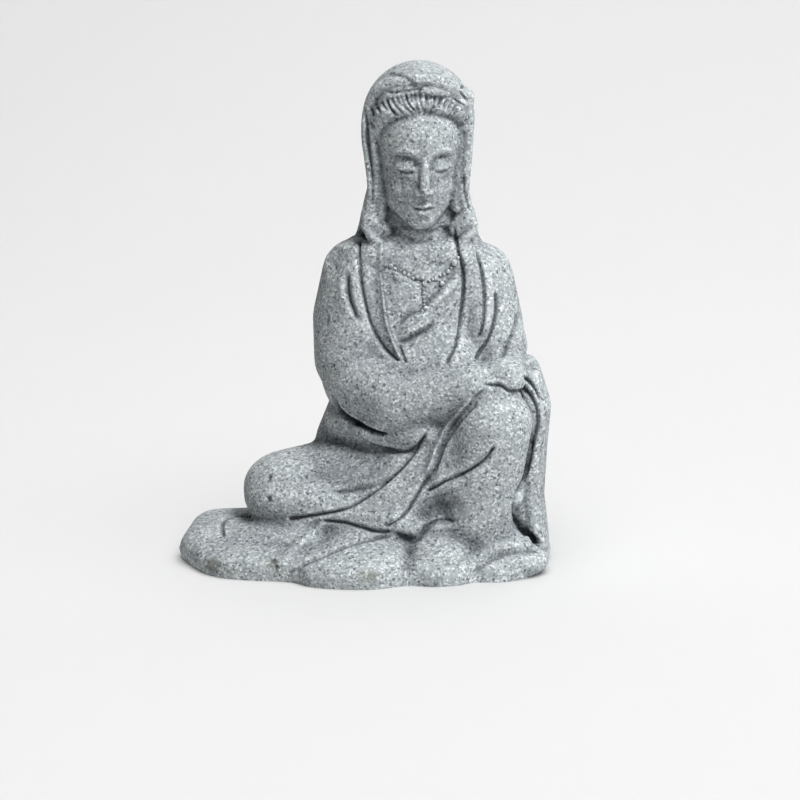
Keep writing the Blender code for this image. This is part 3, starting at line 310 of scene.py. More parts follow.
# Carved lines of the sides and the back, which are plainer: millimetres across and up as seen from there
sideCarving = {
    "right": (
        ("groove", 1.2, 1.8, ((-2.5, 49), (-2.0, 40), (-1.0, 28), (-2.5, 15), (-5.0, 9))),
        ("groove", 1.3, 2.0, ((6.0, 52), (7.0, 40), (8.0, 26), (8.0, 12))),
        ("groove", 1.2, 2.2, ((15.0, 50), (17.0, 38), (20.0, 24), (23.0, 11))),
        ("groove", 0.9, 1.4, ((-8.0, 56), (0.0, 60.5), (8.0, 68), (12.0, 76))),
        ("groove", 0.8, 1.4, ((-6.0, 53), (3.0, 54), (12.0, 58))),
        ("lap", 1.0, 1.0, ((8.0, 85.0), (13.0, 76.0), (17.0, 66.0), (18.0, 56.0))),
    ),
    "left": (
        ("groove", 1.1, 1.8, ((-9.0, 32.0), (-14.0, 27.0), (-21.0, 16.0))),
        ("groove", 1.0, 1.8, ((-4.0, 31.0), (-9.0, 25.0), (-14.0, 13.0))),
        ("lap", 1.0, 1.0, ((-18.0, 56.0), (-17.0, 66.0), (-13.0, 76.0), (-8.0, 85.0))),
        ("groove", 0.8, 1.4, ((-14.0, 62.0), (-10.0, 54.0), (-8.0, 46.0))),
    ),
    "back": (
        ("lap", 1.3, 1.2, ((4.0, 58.5), (-1.0, 53.6), (-8.0, 51.2), (-14.0, 50.6), (-20.0, 51.2),
                           (-27.0, 53.6), (-32.0, 58.5))),
        ("groove", 0.9, 1.8, ((-8.0, 84.0), (-5.0, 72.0), (-3.5, 60.0))),
        ("groove", 0.8, 1.8, ((-14.0, 82.0), (-14.0, 70.0), (-13.5, 58.0))),
        ("groove", 0.9, 1.8, ((-20.0, 84.0), (-23.0, 72.0), (-24.5, 60.0))),
        ("groove", 1.0, 2.2, ((-8.0, 47.0), (-4.0, 32.0), (0.0, 15.0))),
        ("groove", 1.0, 2.2, ((-15.0, 46.0), (-15.0, 32.0), (-16.0, 14.0))),
        ("groove", 1.0, 2.2, ((-22.0, 47.0), (-26.0, 32.0), (-31.0, 15.0))),
    ),
}

# Carved lines of the head, in its own measures: across and up from its middle
faceCarving = (
    ("ridge", 0.5, 0.9, ((-8.2, 5.0), (-6.4, 6.4), (-4.4, 6.8), (-2.6, 6.0), (-1.5, 4.0))),
    ("ridge", 0.5, 0.9, ((8.2, 5.0), (6.4, 6.4), (4.4, 6.8), (2.6, 6.0), (1.5, 4.0))),
    ("groove", 0.7, 0.9, ((-7.8, 3.9), (-5.4, 4.7), (-3.2, 4.3), (-2.1, 2.6), (-2.3, 0.6))),
    ("groove", 0.7, 0.9, ((7.8, 3.9), (5.4, 4.7), (3.2, 4.3), (2.1, 2.6), (2.3, 0.6))),
    ("groove", 0.35, 0.9, ((-7.2, -0.4), (-5.0, -1.1), (-2.8, -0.6))),
    ("groove", 0.35, 0.9, ((7.2, -0.4), (5.0, -1.1), (2.8, -0.6))),
    ("groove", 0.6, 0.35, ((-7.3, 2.0), (-6.2, 1.1), (-4.8, 0.7), (-3.4, 0.9), (-2.3, 1.6))),
    ("groove", 0.6, 0.35, ((2.3, 1.6), (3.4, 0.9), (4.8, 0.7), (6.2, 1.1), (7.3, 2.0))),
    ("ridge", 0.4, 0.5, ((-2.9, -8.2), (-1.4, -7.8), (0, -8.05), (1.4, -7.8), (2.9, -8.2))),
    ("ridge", 0.45, 0.6, ((-2.2, -9.6), (0, -9.9), (2.2, -9.6))),
    ("groove", 0.6, 0.35, ((-3.3, -8.7), (-1.4, -8.8), (0, -8.95), (1.4, -8.8), (3.3, -8.7))),
    ("groove", 0.35, 0.8, ((-2.0, -11.2), (0, -11.5), (2.0, -11.2))),
    ("groove", 0.3, 0.5, ((0, -5.8), (0, -6.6), (0, -7.4))),
)

# The front hair's strands: how deep and wide, how many of each kind, and the points of the first of them
hairSweep = {
    "depth": 0.7,
    "width": 0.4,
    "left": 11,
    "leftTop": (1.9, 118.6),
    "leftLow": 115.5,
    "right": 4,
    "rightTop": (16.1, 121.9),
    "rightMiddle": (16.4, 119.0),
    "rightLow": (15.5, 115.2),
    "curls": 4,
    "curlTop": (21.0, 121.2),
}

# Beads over the breast: middle on the picture plane and width in millimetres, and the share of its width
# that a bead's middle stands above the cloth
beadRise = 0.12
necklace = (
    ((5.6, 76.9), 1.1), ((6.9, 76.7), 1.2), ((8.0, 75.9), 1.0), ((9.2, 75.4), 1.0), ((10.4, 74.7), 1.1),
    ((11.6, 74.1), 1.0), ((12.7, 73.4), 1.0), ((13.9, 73.7), 1.2), ((15.1, 73.5), 1.1), ((16.0, 72.7), 0.9),
    ((17.0, 72.7), 0.9), ((17.8, 73.2), 0.9), ((18.7, 73.4), 1.4), ((19.7, 74.1), 0.9), ((20.8, 74.4), 1.0),
    ((21.8, 75.1), 1.3), ((22.7, 76.2), 0.9), ((23.6, 77.5), 1.7), ((24.4, 78.7), 1.0),
    ((8.5, 73.9), 1.7), ((7.6, 74.9), 0.9), ((20.2, 72.0), 1.4), ((19.6, 72.8), 0.9),
    ((15.8, 71.8), 1.5), ((15.3, 70.6), 0.9), ((15.5, 69.5), 1.0), ((15.5, 68.4), 0.9), ((15.7, 67.4), 1.0),
    ((15.5, 66.4), 0.9), ((16.2, 65.3), 1.5), ((15.2, 64.7), 0.9),
)

# Small pits where the casting held air: middle on the picture plane, width and depth in millimetres
pits = (
    ((-25.1, 21.7), 1.0, 1.2), ((-25.1, 20.9), 1.0, 1.0), ((-25.3, 16.1), 1.0, 1.2),
    ((-25.1, 15.2), 1.0, 1.0),
    ((-7.4, 76.2), 0.9, 0.8), ((-9.6, 62.0), 0.8, 0.6), ((-5.4, 57.4), 0.8, 0.7), ((-8.2, 50.6), 0.8, 0.7),
    ((12.1, 55.9), 0.8, 0.7), ((15.2, 54.4), 0.8, 0.6), ((-4.6, 52.0), 0.8, 0.8), ((0.2, 47.6), 0.9, 0.9),
    ((2.4, 44.5), 0.9, 0.9), ((-2.4, 44.4), 0.9, 0.8), ((7.0, 39.4), 0.8, 0.7),
    ((-24.4, -0.6), 1.5, 0.7), ((-23.4, -2.2), 1.2, 0.8), ((-42.0, 0.6), 1.4, 0.4), ((26.8, 35.0), 0.7, 0.4),
    ((31.2, 36.6), 0.6, 0.4), ((29.0, 31.4), 0.7, 0.4),
)

# Earthy stains on the hem: middle on the picture plane, half widths across and up, strength
stains = (
    ((-40.0, -1.6), (3.4, 2.4), 1.0), ((-24.2, -2.0), (1.8, 2.2), 1.0), ((1.0, -4.6), (3.6, 1.8), 0.9),
    ((-36.0, -3.6), (2.6, 1.4), 0.5), ((-12.0, -5.0), (3.0, 1.2), 0.35),
)

# The marks that the stone's painted shade and light follow, darker in grooves and hollows and paler on
# ridges and bulges, of its fine relief and its broad form: rounds of averaging, gain
paintedShadingMarks = {"relief": (10, 1.6), "form": (160, 0.35)}


# A point of the figure, in metres
def place(point):
    return Vector(point) * mm


# A point of the turned and nodding head, in figure millimetres
def headPoint(across, forward, up):
    turn = Matrix.Rotation(headTurn, 3, "Z") @ Matrix.Rotation(headNod, 3, "X")
    return Vector(headMiddle) + turn @ Vector((across, -forward, up))


# Adds the convex skin stretched over some balls to a mesh
def addSkin(mesh, balls):
    ballPoints = bmesh.new()
    for centre, halfSizes in balls:
        where = Matrix.Translation(place(centre)) @ Matrix.Diagonal((*(s * mm for s in halfSizes), 1.0))
        bmesh.ops.create_icosphere(ballPoints, subdivisions=roundness, radius=1.0, matrix=where)
    skin = bmesh.new()
    for vertex in ballPoints.verts:
        skin.verts.new(vertex.co)
    ballPoints.free()
    bmesh.ops.convex_hull(skin, input=skin.verts)
    bmesh.ops.delete(skin, geom=[v for v in skin.verts if not v.link_faces], context="VERTS")
    bmesh.ops.recalc_face_normals(skin, faces=skin.faces)
    joined = bpy.data.meshes.new("skin")
    skin.to_mesh(joined)
    skin.free()
    mesh.from_mesh(joined)
    bpy.data.meshes.remove(joined)


# Adds a roll of cloth or hair along a smooth line through some points, and so far back from it
def addRoll(mesh, points, thickness, depth=0):
    line = smoothLine(points, rollSteps)
    radii = (thickness / 2,) * 3
    back = np.array((0, depth, 0))
    for first, second in zip(line, line[1:]):
        ends = (first, second, first + back, second + back) if depth else (first, second)
        addSkin(mesh, [(end, radii) for end in ends])


# Points along the Catmull-Rom curve through some points
def smoothLine(points, steps):
    knots = [np.array(p, float) for p in points]
    knots = [2 * knots[0] - knots[1], *knots, 2 * knots[-1] - knots[-2]]
    line = []
    for a, b, c, d in zip(knots, knots[1:], knots[2:], knots[3:]):
        for step in range(steps):
            t = step / steps
            bend, twist = 2 * a - 5 * b + 4 * c - d, 3 * b - a - 3 * c + d
            line.append(0.5 * (2 * b + (c - a) * t + bend * t**2 + twist * t**3))
    line.append(knots[-2])
    return line


# The hem's edge: a smooth closed line through the drawn points, brought to its width and depth
def hemPlan():
    wrapped = (*hemEdge[-2:], *hemEdge, *hemEdge[:2])
    line = np.array(smoothLine(wrapped, rollSteps)[2 * rollSteps:-2 * rollSteps - 1])
    least, most = line.min(0), line.max(0)
    finished = np.array((hemWidth, hemDepth)) + 2 * edgeLoss
    return (line - (least + most) / 2) / (most - least) * finished


# Adds the spread hem: rings from under its base round its edge, and on over its top
def addHem(mesh, top):
    below = 3 * mm
    profile = ((0.97, -below), (0.985, 0.0), (1.0, 0.35 * hemThickness), (0.985, 0.62 * hemThickness))
    profile += tuple((share, height * hemThickness) for share, height in top)
    plan = hemPlan()
    rings = [[mesh.verts.new((x * share, y * share, height)) for x, y in plan] for share, height in profile]
    for lower, upper in zip(rings, rings[1:]):
        for index in range(len(plan)):
            following = (index + 1) % len(plan)
            mesh.faces.new((lower[index], lower[following], upper[following], upper[index]))
    mesh.faces.new(list(reversed(rings[0])))
    mesh.faces.new(rings[-1])


# A new mesh of the object as its modifiers leave it
def evaluatedCopy(obj):
    graph = bpy.context.evaluated_depsgraph_get()
    return bpy.data.meshes.new_from_object(obj.evaluated_get(graph))


# The masses of a mesh fused into one closed surface and smoothed
def fused(mesh, voxel, smoothing):
    data = bpy.data.meshes.new("clay")
    mesh.to_mesh(data)
    clay = bpy.data.objects.new("clay", data)
    bpy.context.scene.collection.objects.link(clay)
    remesh = clay.modifiers.new("fuse", "REMESH")
    remesh.mode = "VOXEL"
    remesh.voxel_size = voxel
    smooth = clay.modifiers.new("smooth", "SMOOTH")
    smooth.factor = 0.5
    smooth.iterations = smoothing
    result = evaluatedCopy(clay)
    bpy.data.objects.remove(clay)
    bpy.data.meshes.remove(data)
    return result


# Balls given in the head's own measures, set in the figure
def ofHead(balls):
    return [(headPoint(*centre), halfSizes) for centre, halfSizes in balls]


# The figure on its hem, before carving
def blockOut():
    soft = bmesh.new()
    softened = (hips, shoulders, forearms, foldedLeg, raisedLeg, lap, neck, veil, fallBacking, hemLobes)
    for group in softened:
        for balls in group:
            addSkin(soft, balls)
    addHem(soft, hemTop)
    body = fused(soft, softVoxel, softSmoothing)
    soft.free()
    firm = bmesh.new()
    firm.from_mesh(body)
    for balls in hood:
        addSkin(firm, balls)
    for balls in (*head, *features):
        addSkin(firm, ofHead(balls))
    for thickness, points in hair:
        addRoll(firm, [headPoint(*point) for point in points], thickness)
    for thickness, points in hoodLining:
        addRoll(firm, points, thickness)
    for first, second in zip(sideFall, sideFall[1:]):
        addSkin(firm, (first, second))
    addRoll(firm, hoodRim, rimThickness, rimDepth)
    addHem(firm, hemRim)
    clay = fused(firm, firmVoxel, firmSmoothing)
    firm.free()
    return clay


# Where a drawn line falls on the clay: its points in space, and the clay's normals there
def traced(points, tree, eye, aim):
    found, normals = [], []
    for point in smoothLine(points, lineSteps):
        hit, normal, _, _ = tree.ray_cast(eye(point), aim(point) - eye(point))
        if hit is not None:
            found.append(hit)
            normals.append(normal)
    return np.array(found), np.array(normals)


# The spot of a drawn point on the picture plane, in metres
def onPicturePlane(point):
    rise = point[1] * mm - sightHeight
    return Vector((point[0] * mm, rise * math.sin(sightRise), sightHeight + rise * math.cos(sightRise)))


# Adds one line's relief, in figure millimetres deep and wide, to the lift of each vertex
def carve(where, outward, lift, line, lineNormals, kind, depth, width):
    depth, width = depth * mm, max(width, finestLine) * mm
    reach = 5 * width
    near = np.flatnonzero(((where > line.min(0) - reach) & (where < line.max(0) + reach)).all(1))
    starts, runs = line[:-1], line[1:] - line[:-1]
    lengths = np.maximum((runs**2).sum(1), 1e-18)
    fromStart = where[near, None, :] - starts[None]
    along = np.clip((fromStart * runs).sum(2) / lengths, 0, 1)
    away = fromStart - along[..., None] * runs
    apart = np.sqrt((away**2).sum(2))
    nearest = apart.argmin(1)
    rows = np.arange(len(near))
    apart = apart[rows, nearest]
    travelled = np.concatenate(([0], np.cumsum(np.sqrt(lengths))))
    placeAlong = travelled[nearest] + along[rows, nearest] * np.sqrt(lengths)[nearest]
    total = travelled[-1]
    taperRun = min(4 * width, 0.35 * total) + 1e-12
    ends = np.clip(np.minimum(placeAlong, total - placeAlong) / taperRun, 0, 1)
    ends = ends * ends * (3 - 2 * ends)
    facing = np.clip(1.6 * (outward[near] * lineNormals[nearest]).sum(1) + 0.2, 0, 1)
    if kind == "lap":
        left = np.cross(lineNormals[nearest], runs[nearest])
        side = (away[rows, nearest] * left).sum(1) / np.maximum(np.linalg.norm(left, axis=1), 1e-12)
        over = 0.5 + 0.5 * np.tanh(side / (0.35 * width))
        relief = over * np.exp(-np.maximum(side, 0) / (2.2 * width)) * 0.55
        relief = relief - (1 - over) * np.exp(-((side / (1.6 * width)) ** 2)) * 0.75
        relief = relief * np.exp(-np.maximum(apart - np.abs(side), 0) / width)
        relief = np.where(ends > 0, relief, 0)
    else:
        relief = np.exp(-((apart / width) ** 2)) * (1 if kind == "ridge" else -1)
    lift[near] += depth * relief * ends * facing


# The front hair's strands, combed from under the hood toward the parting, with small curls at the right
def hairStrands():
    strands = []

    def comb(depth, *points):
        strands.append(("groove", depth * hairSweep["depth"], hairSweep["width"], points))

    across, up = hairSweep["leftTop"]
    for number, share in enumerate(np.linspace(0, 1, hairSweep["left"])):
        top = (across + 12.7 * share, up + 3.2 * (1 - (1 - share) ** 4) + 0.9 * share**3)
        low = (top[0] + 0.9 + 3.0 * math.sin(math.pi * share) ** 1.5,
               hairSweep["leftLow"] + 0.5 * (number % 3))
        middle = (top[0] + 0.26 * (low[0] - top[0]), 0.5 * top[1] + 0.5 * low[1])
        comb(1.5 if number % 4 == 3 else 0.85, top, middle, low)
    points = hairSweep["rightTop"], hairSweep["rightMiddle"], hairSweep["rightLow"]
    for number, share in enumerate(np.linspace(0, 1, hairSweep["right"])):
        strand = [(across + spread * share, up) for (across, up), spread in zip(points, (3.4, 3.1, 2.2))]
        comb(1.3 if number % 2 == 0 else 0.9, *strand)
    across, up = hairSweep["curlTop"]
    for curl in range(hairSweep["curls"]):
        start = (across + 1.2 * curl, up - 0.7 * curl)
        bend = (start[0] - 0.9, start[1] - 1.4)
        tip = (start[0] - 1.5, start[1] - 3.9 + 0.3 * curl)
        comb(1.2, start, bend, tip)
    return strands


def formTree(data):
    return BVHTree.FromPolygons([v.co for v in data.vertices], [p.vertices for p in data.polygons])


# Each vertex's place or normal, one to a row
def vertexRows(data, what):
    values = np.empty(len(data.vertices) * 3)
    data.vertices.foreach_get(what, values)
    return values.reshape(-1, 3)


# Writes a value for each vertex as an attribute, which the stone's colour reads
def markVertices(data, name, values):
    marks = data.attributes.new(name, "FLOAT", "POINT")
    marks.data.foreach_set("value", values.astype(np.float32))


# The clay with all of its lines carved
def carved(clay):
    tree = formTree(clay)
    where, outward = vertexRows(clay, "co"), vertexRows(clay, "normal")
    lift = np.zeros(len(where))

    def carveLines(lines, eye, aim):
        for kind, depth, width, points in lines:
            line, normals = traced(points, tree, eye, aim)
            carve(where, outward, lift, line, normals, kind, depth, width)

    carveLines((*carving, *hairStrands()), lambda p: viewpoint, onPicturePlane)
    turns = {"right": math.radians(90), "back": math.radians(180), "left": math.radians(270)}
    for side, lines in sideCarving.items():
        turn = Matrix.Rotation(turns[side], 3, "Z")
        carveLines(lines, lambda p: turn @ place((p[0], -sideDistance, p[1])),
                   lambda p: turn @ place((p[0], 0, p[1])))
    carveLines(faceCarving, lambda p: place(headPoint(p[0], faceDistance, p[1])),
               lambda p: place(headPoint(p[0], 0, p[1])))
    where += outward * lift[:, None]
    clay.vertices.foreach_set("co", where.ravel())
    clay.update()
    return clay


# The clay thinned to what a piece may hold
def thinned(clay, triangles):
    piece = bpy.data.objects.new("thinned", clay)
    bpy.context.scene.collection.objects.link(piece)
    reduce = piece.modifiers.new("reduce", "DECIMATE")
    reduce.ratio = triangles / (2 * len(clay.polygons))
    result = evaluatedCopy(piece)
    bpy.data.objects.remove(piece)
    return result


# The underside cut flat at the ground and closed
def cutFlat(data):
    mesh = bmesh.new()
    mesh.from_mesh(data)
    parts = [*mesh.verts, *mesh.edges, *mesh.faces]
    ground, upward, level = (0, 0, 0), (0, 0, 1), 1e-7
    bmesh.ops.bisect_plane(mesh, geom=parts, dist=level, plane_co=ground, plane_no=upward, clear_inner=True)
    onGround = [vertex for vertex in mesh.verts if abs(vertex.co.z) < level]
    bmesh.ops.remove_doubles(mesh, verts=onGround, dist=0.05 * mm)
    bmesh.ops.edgeloop_fill(mesh, edges=[edge for edge in mesh.edges if len(edge.link_faces) == 1])
    bmesh.ops.triangulate(mesh, faces=mesh.faces)
    bmesh.ops.recalc_face_normals(mesh, faces=mesh.faces)
    for face in mesh.faces:
        face.smooth = any(vertex.co.z > level for vertex in face.verts)
    for edge in mesh.edges:
        edge.smooth = len({face.smooth for face in edge.link_faces}) == 1
    mesh.to_mesh(data)
    mesh.free()


# How far each spot stands out of or sinks below its surroundings
def markRelief(data, name, passes, gain):
    where, outward = vertexRows(data, "co"), vertexRows(data, "normal")
    count = len(where)
    ends = np.empty(len(data.edges) * 2, int)
    data.edges.foreach_get("vertices", ends)
    ends = ends.reshape(-1, 2)
    both = np.concatenate((ends, ends[:, ::-1]))
    links = np.bincount(both[:, 0], minlength=count).astype(float)

    def averaged(values):
        return np.bincount(both[:, 0], weights=values[both[:, 1]], minlength=count) / links

    smoothed = where.copy()
    for step in range(passes):
        smoothed = 0.4 * smoothed + 0.6 * np.stack([averaged(smoothed[:, axis]) for axis in range(3)], 1)
    relief = ((where - smoothed) * outward).sum(1) / mm
    for step in range(2):
        relief = 0.5 * relief + 0.5 * averaged(relief)
    markVertices(data, name, np.clip(0.5 + relief * gain, 0, 1))


# Where a spot of the picture plane falls on the form, and the way the form faces there
def castSpot(tree, spot):
    hit, facing, _, _ = tree.ray_cast(viewpoint, onPicturePlane(spot) - viewpoint)
    return hit, facing


# How strongly each spot is stained
def markStains(data):
    tree = formTree(data)
    where = vertexRows(data, "co")
    amount = np.zeros(len(where))
    for spot, halves, strength in stains:
        away = (where - np.array(castSpot(tree, spot)[0])) / mm
        across, along = away[:, 0] / halves[0], np.linalg.norm(away[:, 1:], axis=1) / halves[1]
        amount = np.maximum(amount, strength * np.exp(-(across**2 + along**2)))
    markVertices(data, "stain", amount)


# Sinks the pits into the form
def sinkPits(data):
    tree = formTree(data)
    where = vertexRows(data, "co")
    for spot, width, depth in pits:
        hit, facing = castSpot(tree, spot)
        apart = np.linalg.norm(where - np.array(hit), axis=1)
        fall = np.exp(-((apart / (0.5 * width * mm)) ** 2))
        where -= depth * mm * fall[:, None] * np.array(facing)
    data.vertices.foreach_set("co", where.ravel())
    data.update()


# Adds the beads, each pressed into the breast to nearly half its depth
def addBeads(data):
    tree = formTree(data)
    mesh = bmesh.new()
    mesh.from_mesh(data)
    for spot, width in necklace:
        hit, facing = castSpot(tree, spot)
        middle = Matrix.Translation(hit + beadRise * width * mm * facing)
        bmesh.ops.create_icosphere(mesh, subdivisions=3, radius=width / 2 * mm, matrix=middle)
    for face in mesh.faces:
        face.smooth = True
    mesh.to_mesh(data)
    mesh.free()


print("statue: pressing the clay together")
form = carved(blockOut())
print("statue: carved,", len(form.vertices), "vertices")
form = thinned(form, mostTriangles)
sinkPits(form)
addBeads(form)
cutFlat(form)
# marks for the painted shade in grooves and hollows and the painted light on ridges and bulges
for markName, (passes, gain) in paintedShadingMarks.items():
    markRelief(form, markName, passes, gain)
markStains(form)
print("statue: thinned,", len(form.polygons), "triangles")
statueStone = bpy.data.objects.new("statueStone", form)
bpy.context.scene.collection.objects.link(statueStone)


# A hex colour as linear light
def linear(code):
    parts = [int(code[i:i + 2], 16) / 255 for i in (1, 3, 5)]
    return (*((p / 12.92 if p <= 0.04045 else ((p + 0.055) / 1.055) ** 2.4) for p in parts), 1.0)


# Adds a node, sets its options, and its inputs from values or other nodes' outputs
def node(tree, kind, options=None, **inputs):
    added = tree.nodes.new(kind)
    for name, value in (options or {}).items():
        setattr(added, name, value)
    for name, value in inputs.items():
        key = int(name[1:]) if name[0] == "i" and name[1:].isdigit() else name.replace("_", " ")
        if isinstance(value, bpy.types.NodeSocket):
            tree.links.new(value, added.inputs[key])
        else:
            added.inputs[key].default_value = value
    return added


# Colour stops set on a ramp
def ramp(tree, fac, stops):
    added = node(tree, "ShaderNodeValToRGB", Fac=fac)
    elements = added.color_ramp.elements
    while len(elements) < len(stops):
        elements.new(0.5)
    for element, (position, colour) in zip(elements, stops):
        element.position = position
        element.color = colour
    return added.outputs["Color"]


# Cells of a size in figure millimetres, each with a colour of its own
def cells(tree, spot, size):
    return node(tree, "ShaderNodeTexVoronoi", {"feature": "F1"}, Vector=spot, Scale=1 / (size * mm))


# Soft noise of a size in figure millimetres
def noise(tree, spot, size, detail):
    return node(tree, "ShaderNodeTexNoise", Vector=spot, Scale=1 / (size * mm), Detail=detail).outputs["Fac"]


# What each vertex was marked with
def marked(tree, name):
    return node(tree, "ShaderNodeAttribute", {"attribute_name": name}).outputs["Fac"]


# A colour with another over it as far as a share says, or the two multiplied
def mixed(tree, under, over, share=1.0, blend="MIX"):
    options = {"data_type": "RGBA", "blend_type": blend}
    return node(tree, "ShaderNodeMix", options, i0=share, i6=under, i7=over).outputs[2]


# Sizes in figure millimetres; colours and tones with their places on a ramp
stone = {
    "grain": 0.5,
    "speck": 0.62,
    "pore": 0.5,
    "patch": 1.3,
    "cloud": 9.0,
    "roughness": 0.92,
    "specular": 0.22,
    "grainColours": ((0.0, "#71777a"), (0.15, "#81878b"), (0.35, "#91979a"), (0.7, "#9ba1a3"),
                     (0.9, "#b6babc"), (1.0, "#c4c8ca")),
    "speckColour": "#61676b",
    "speckFrom": 0.96,
    # painted shade in the carved grooves and painted light on the ridges
    "grooveShadeRidgeLightTones": ((0.15, (0.42, 0.43, 0.45, 1)), (0.42, (0.86, 0.86, 0.87, 1)),
                    (0.55, (1, 1, 1, 1)), (0.85, (1.25, 1.25, 1.24, 1))),
    # painted shade in the broad hollows and painted light on the bulges
    "hollowShadeBulgeLightTones": ((0.15, (0.66, 0.67, 0.68, 1)), (0.42, (0.93, 0.93, 0.94, 1)),
                  (0.58, (1.03, 1.03, 1.03, 1)), (0.85, (1.14, 1.14, 1.13, 1))),
    "cloudTones": ((0.3, (0.93, 0.93, 0.93, 1)), (0.7, (1.05, 1.05, 1.05, 1))),
    "stainColour": "#5f6252",
    "stainFrom": 0.12,
    "stainTo": 0.36,
    "stainCover": 0.55,
    "bump": 0.5,
    "bumpHeight": 0.1,
}


# Cast sandstone: salt-and-pepper grains of about half a millimetre, with painted shade in its grooves and
# hollows and painted light on its ridges and bulges, faintly clouded, and stained by earth at the hem
def castSandstone():
    material = bpy.data.materials.new("castSandstone")
    material.use_nodes = True
    tree = material.node_tree
    surface = tree.nodes["Principled BSDF"]
    surface.inputs["Roughness"].default_value = stone["roughness"]
    surface.inputs["Specular IOR Level"].default_value = stone["specular"]
    spot = node(tree, "ShaderNodeTexCoord").outputs["Object"]
    grains = cells(tree, spot, stone["grain"])
    specks = cells(tree, spot, stone["speck"])
    draw = node(tree, "ShaderNodeSeparateColor", Color=grains.outputs["Color"]).outputs["Red"]
    drawSpeck = node(tree, "ShaderNodeSeparateColor", Color=specks.outputs["Color"]).outputs["Green"]
    dark = node(tree, "ShaderNodeMath", {"operation": "GREATER_THAN"}, i0=drawSpeck, i1=stone["speckFrom"])
    base = ramp(tree, draw, [(position, linear(code)) for position, code in stone["grainColours"]])
    colour = mixed(tree, base, linear(stone["speckColour"]), dark.outputs[0])
    clouds = noise(tree, spot, stone["cloud"], 3.0)
    # the relief and form marks paint shade into grooves and hollows and light onto ridges and bulges
    relief, hollow = marked(tree, "relief"), marked(tree, "form")
    for fac, tones in ((relief, "grooveShadeRidgeLightTones"), (hollow, "hollowShadeBulgeLightTones"), (clouds, "cloudTones")):
        colour = mixed(tree, colour, ramp(tree, fac, stone[tones]), blend="MULTIPLY")
    patches = noise(tree, spot, stone["patch"], 3.0)
    patchy = node(tree, "ShaderNodeMath", {"operation": "MULTIPLY"}, i0=marked(tree, "stain"), i1=patches)
    cover = node(tree, "ShaderNodeMapRange", Value=patchy.outputs[0], From_Min=stone["stainFrom"],
                 From_Max=stone["stainTo"], To_Max=stone["stainCover"]).outputs[0]
    colour = mixed(tree, colour, linear(stone["stainColour"]), cover)
    tree.links.new(colour, surface.inputs["Base Color"])
    pores = noise(tree, spot, stone["pore"], 2.0)
    height = node(tree, "ShaderNodeMath", {"operation": "ADD"}, i0=pores, i1=grains.outputs["Distance"])
    bump = node(tree, "ShaderNodeBump", Strength=stone["bump"], Distance=stone["bumpHeight"] * mm,
                Height=height.outputs[0])
    tree.links.new(bump.outputs["Normal"], surface.inputs["Normal"])
    return material


statueStone.data.materials.append(castSandstone())
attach(statueStone, "root")
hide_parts("statue")
print("statue: dressed")

# Lengths in metres
studio = {
    "floor": "#dadada",
    "floorRoughness": 0.95,
    "floorSpecular": 0.1,
    "sweepFront": -1.5,
    "sweepFoot": 0.35,
    "sweepRadius": 0.35,
    "sweepBends": 16,
    "sweepTop": 2.0,
    "sweepHalfWidth": 3.0,
    "world": 0.04,
    "spotSoftness": 0.1,
    "lens": 146.1,
    "cameraPlace": (0.0, -0.8314, 0.2367),
    "cameraAim": (0.0093, 0.0, 0.041),
}


# White paper without shine, a pale and even ground
def whitePaper():
    paper = bpy.data.materials.new("whitePaper")
    paper.use_nodes = True
    surface = paper.node_tree.nodes["Principled BSDF"]
    surface.inputs["Base Color"].default_value = linear(studio["floor"])
    surface.inputs["Roughness"].default_value = studio["floorRoughness"]
    surface.inputs["Specular IOR Level"].default_value = studio["floorSpecular"]
    return paper


# A floor that sweeps up into a backdrop behind the statue
def addSweep():
    foot, radius, bends = studio["sweepFoot"], studio["sweepRadius"], studio["sweepBends"]
    depths = [(studio["sweepFront"], 0.0), (foot, 0.0)]
    for bend in range(1, bends + 1):
        turn = math.pi / 2 * bend / bends
        depths.append((foot + radius * math.sin(turn), radius - radius * math.cos(turn)))
    depths.append((foot + radius, studio["sweepTop"]))
    sides = (-studio["sweepHalfWidth"], studio["sweepHalfWidth"])
    corners = [(x, y, z) for y, z in depths for x in sides]
    faces = [(2 * i, 2 * i + 1, 2 * i + 3, 2 * i + 2) for i in range(len(depths) - 1)]
    data = bpy.data.meshes.new("sweep")
    data.from_pydata(corners, [], faces)
    for face in data.polygons:
        face.use_smooth = True
    sweep = bpy.data.objects.new("sweep", data)
    bpy.context.scene.collection.objects.link(sweep)
    data.materials.append(whitePaper())
    return sweep


# The group that some lamps fall on, with one piece in it
def litGroup(name, piece):
    group = bpy.data.collections.new(name)
    group.objects.link(piece)
    return group


# The turn that points a lamp or the camera from where it stands at its aim
def pointed(stand, aim):
    return (Vector(aim) - Vector(stand)).to_track_quat("-Z", "Y").to_euler()


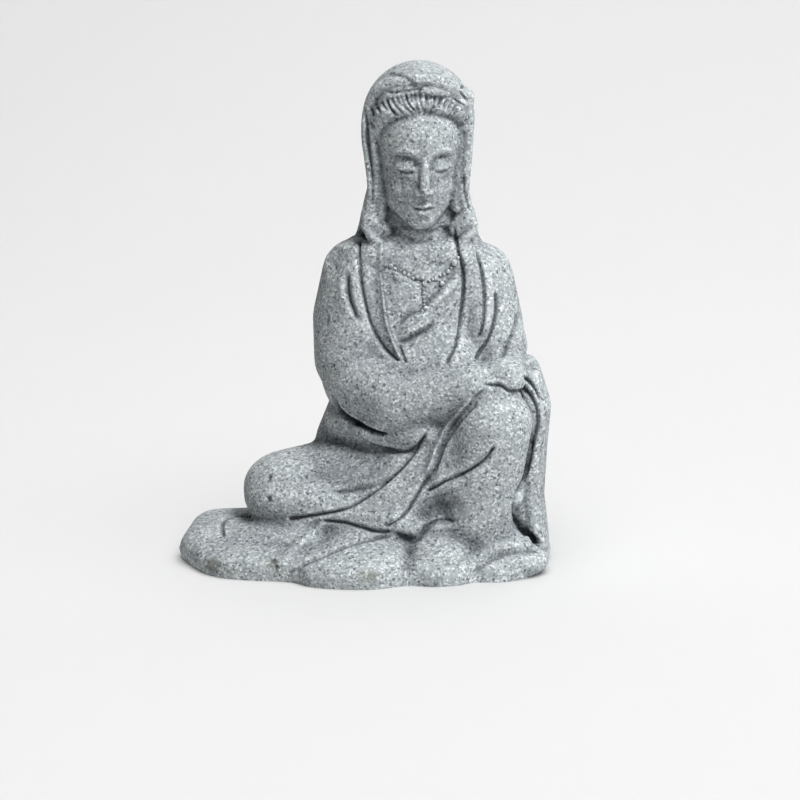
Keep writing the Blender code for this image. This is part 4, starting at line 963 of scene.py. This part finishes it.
# Hangs a lamp that falls on one group alone: a disk so many metres wide, or a spot so many degrees wide
def hangLamp(name, kind, stand, aim, width, energy, group):
    lamp = bpy.data.lights.new(name, kind)
    lamp.energy = energy
    if kind == "AREA":
        lamp.shape = "DISK"
        lamp.size = width
    else:
        lamp.spot_size = math.radians(width)
        lamp.spot_blend = 1.0
        lamp.shadow_soft_size = studio["spotSoftness"]
    lightObject = bpy.data.objects.new(name, lamp)
    lightObject.location = stand
    lightObject.rotation_euler = pointed(stand, aim)
    lightObject.light_linking.receiver_collection = group
    bpy.context.scene.collection.objects.link(lightObject)


# The statue has its own lamps from the right, and the paper a wide soft one from above. Each lamp has its
# kind, place, aim, width, energy and group
onStone = litGroup("onStone", statueStone)
onPaper = litGroup("onPaper", addSweep())
lamps = {
    "keyLight": ("AREA", (0.39, -0.53, 1.0), (0.0, 0.0, 0.06), 0.4, 15.3, onStone),
    "sideLight": ("AREA", (0.98, -0.46, 0.45), (0.0, 0.0, 0.06), 0.5, 4.0, onStone),
    "topLight": ("AREA", (0.1, 0.1, 1.3), (0.0, 0.0, 0.06), 0.6, 2.2, onStone),
    "paperLight": ("AREA", (0.26, -0.3, 1.3), (0.12, -0.1, 0.0), 1.8, 29.7, onPaper),
    "backdropLight": ("SPOT", (0.0, 0.3, 1.3), (0.05, 0.66, 0.1), 60, 3, onPaper),
}
for lampName, settings in lamps.items():
    hangLamp(lampName, *settings)
world = bpy.data.worlds.new("softRoom")
bpy.context.scene.world = world
world.use_nodes = True
background = world.node_tree.nodes["Background"]
background.inputs["Color"].default_value = linear("#ffffff")
background.inputs["Strength"].default_value = studio["world"]

camera = bpy.data.cameras.new("camera")
camera.sensor_width = 36
camera.lens = studio["lens"]
cameraObject = bpy.data.objects.new("camera", camera)
cameraObject.location = studio["cameraPlace"]
cameraObject.rotation_euler = pointed(studio["cameraPlace"], studio["cameraAim"])
bpy.context.scene.collection.objects.link(cameraObject)
bpy.context.scene.camera = cameraObject
bpy.context.scene.view_settings.view_transform = "Standard"
print("studio: lit")
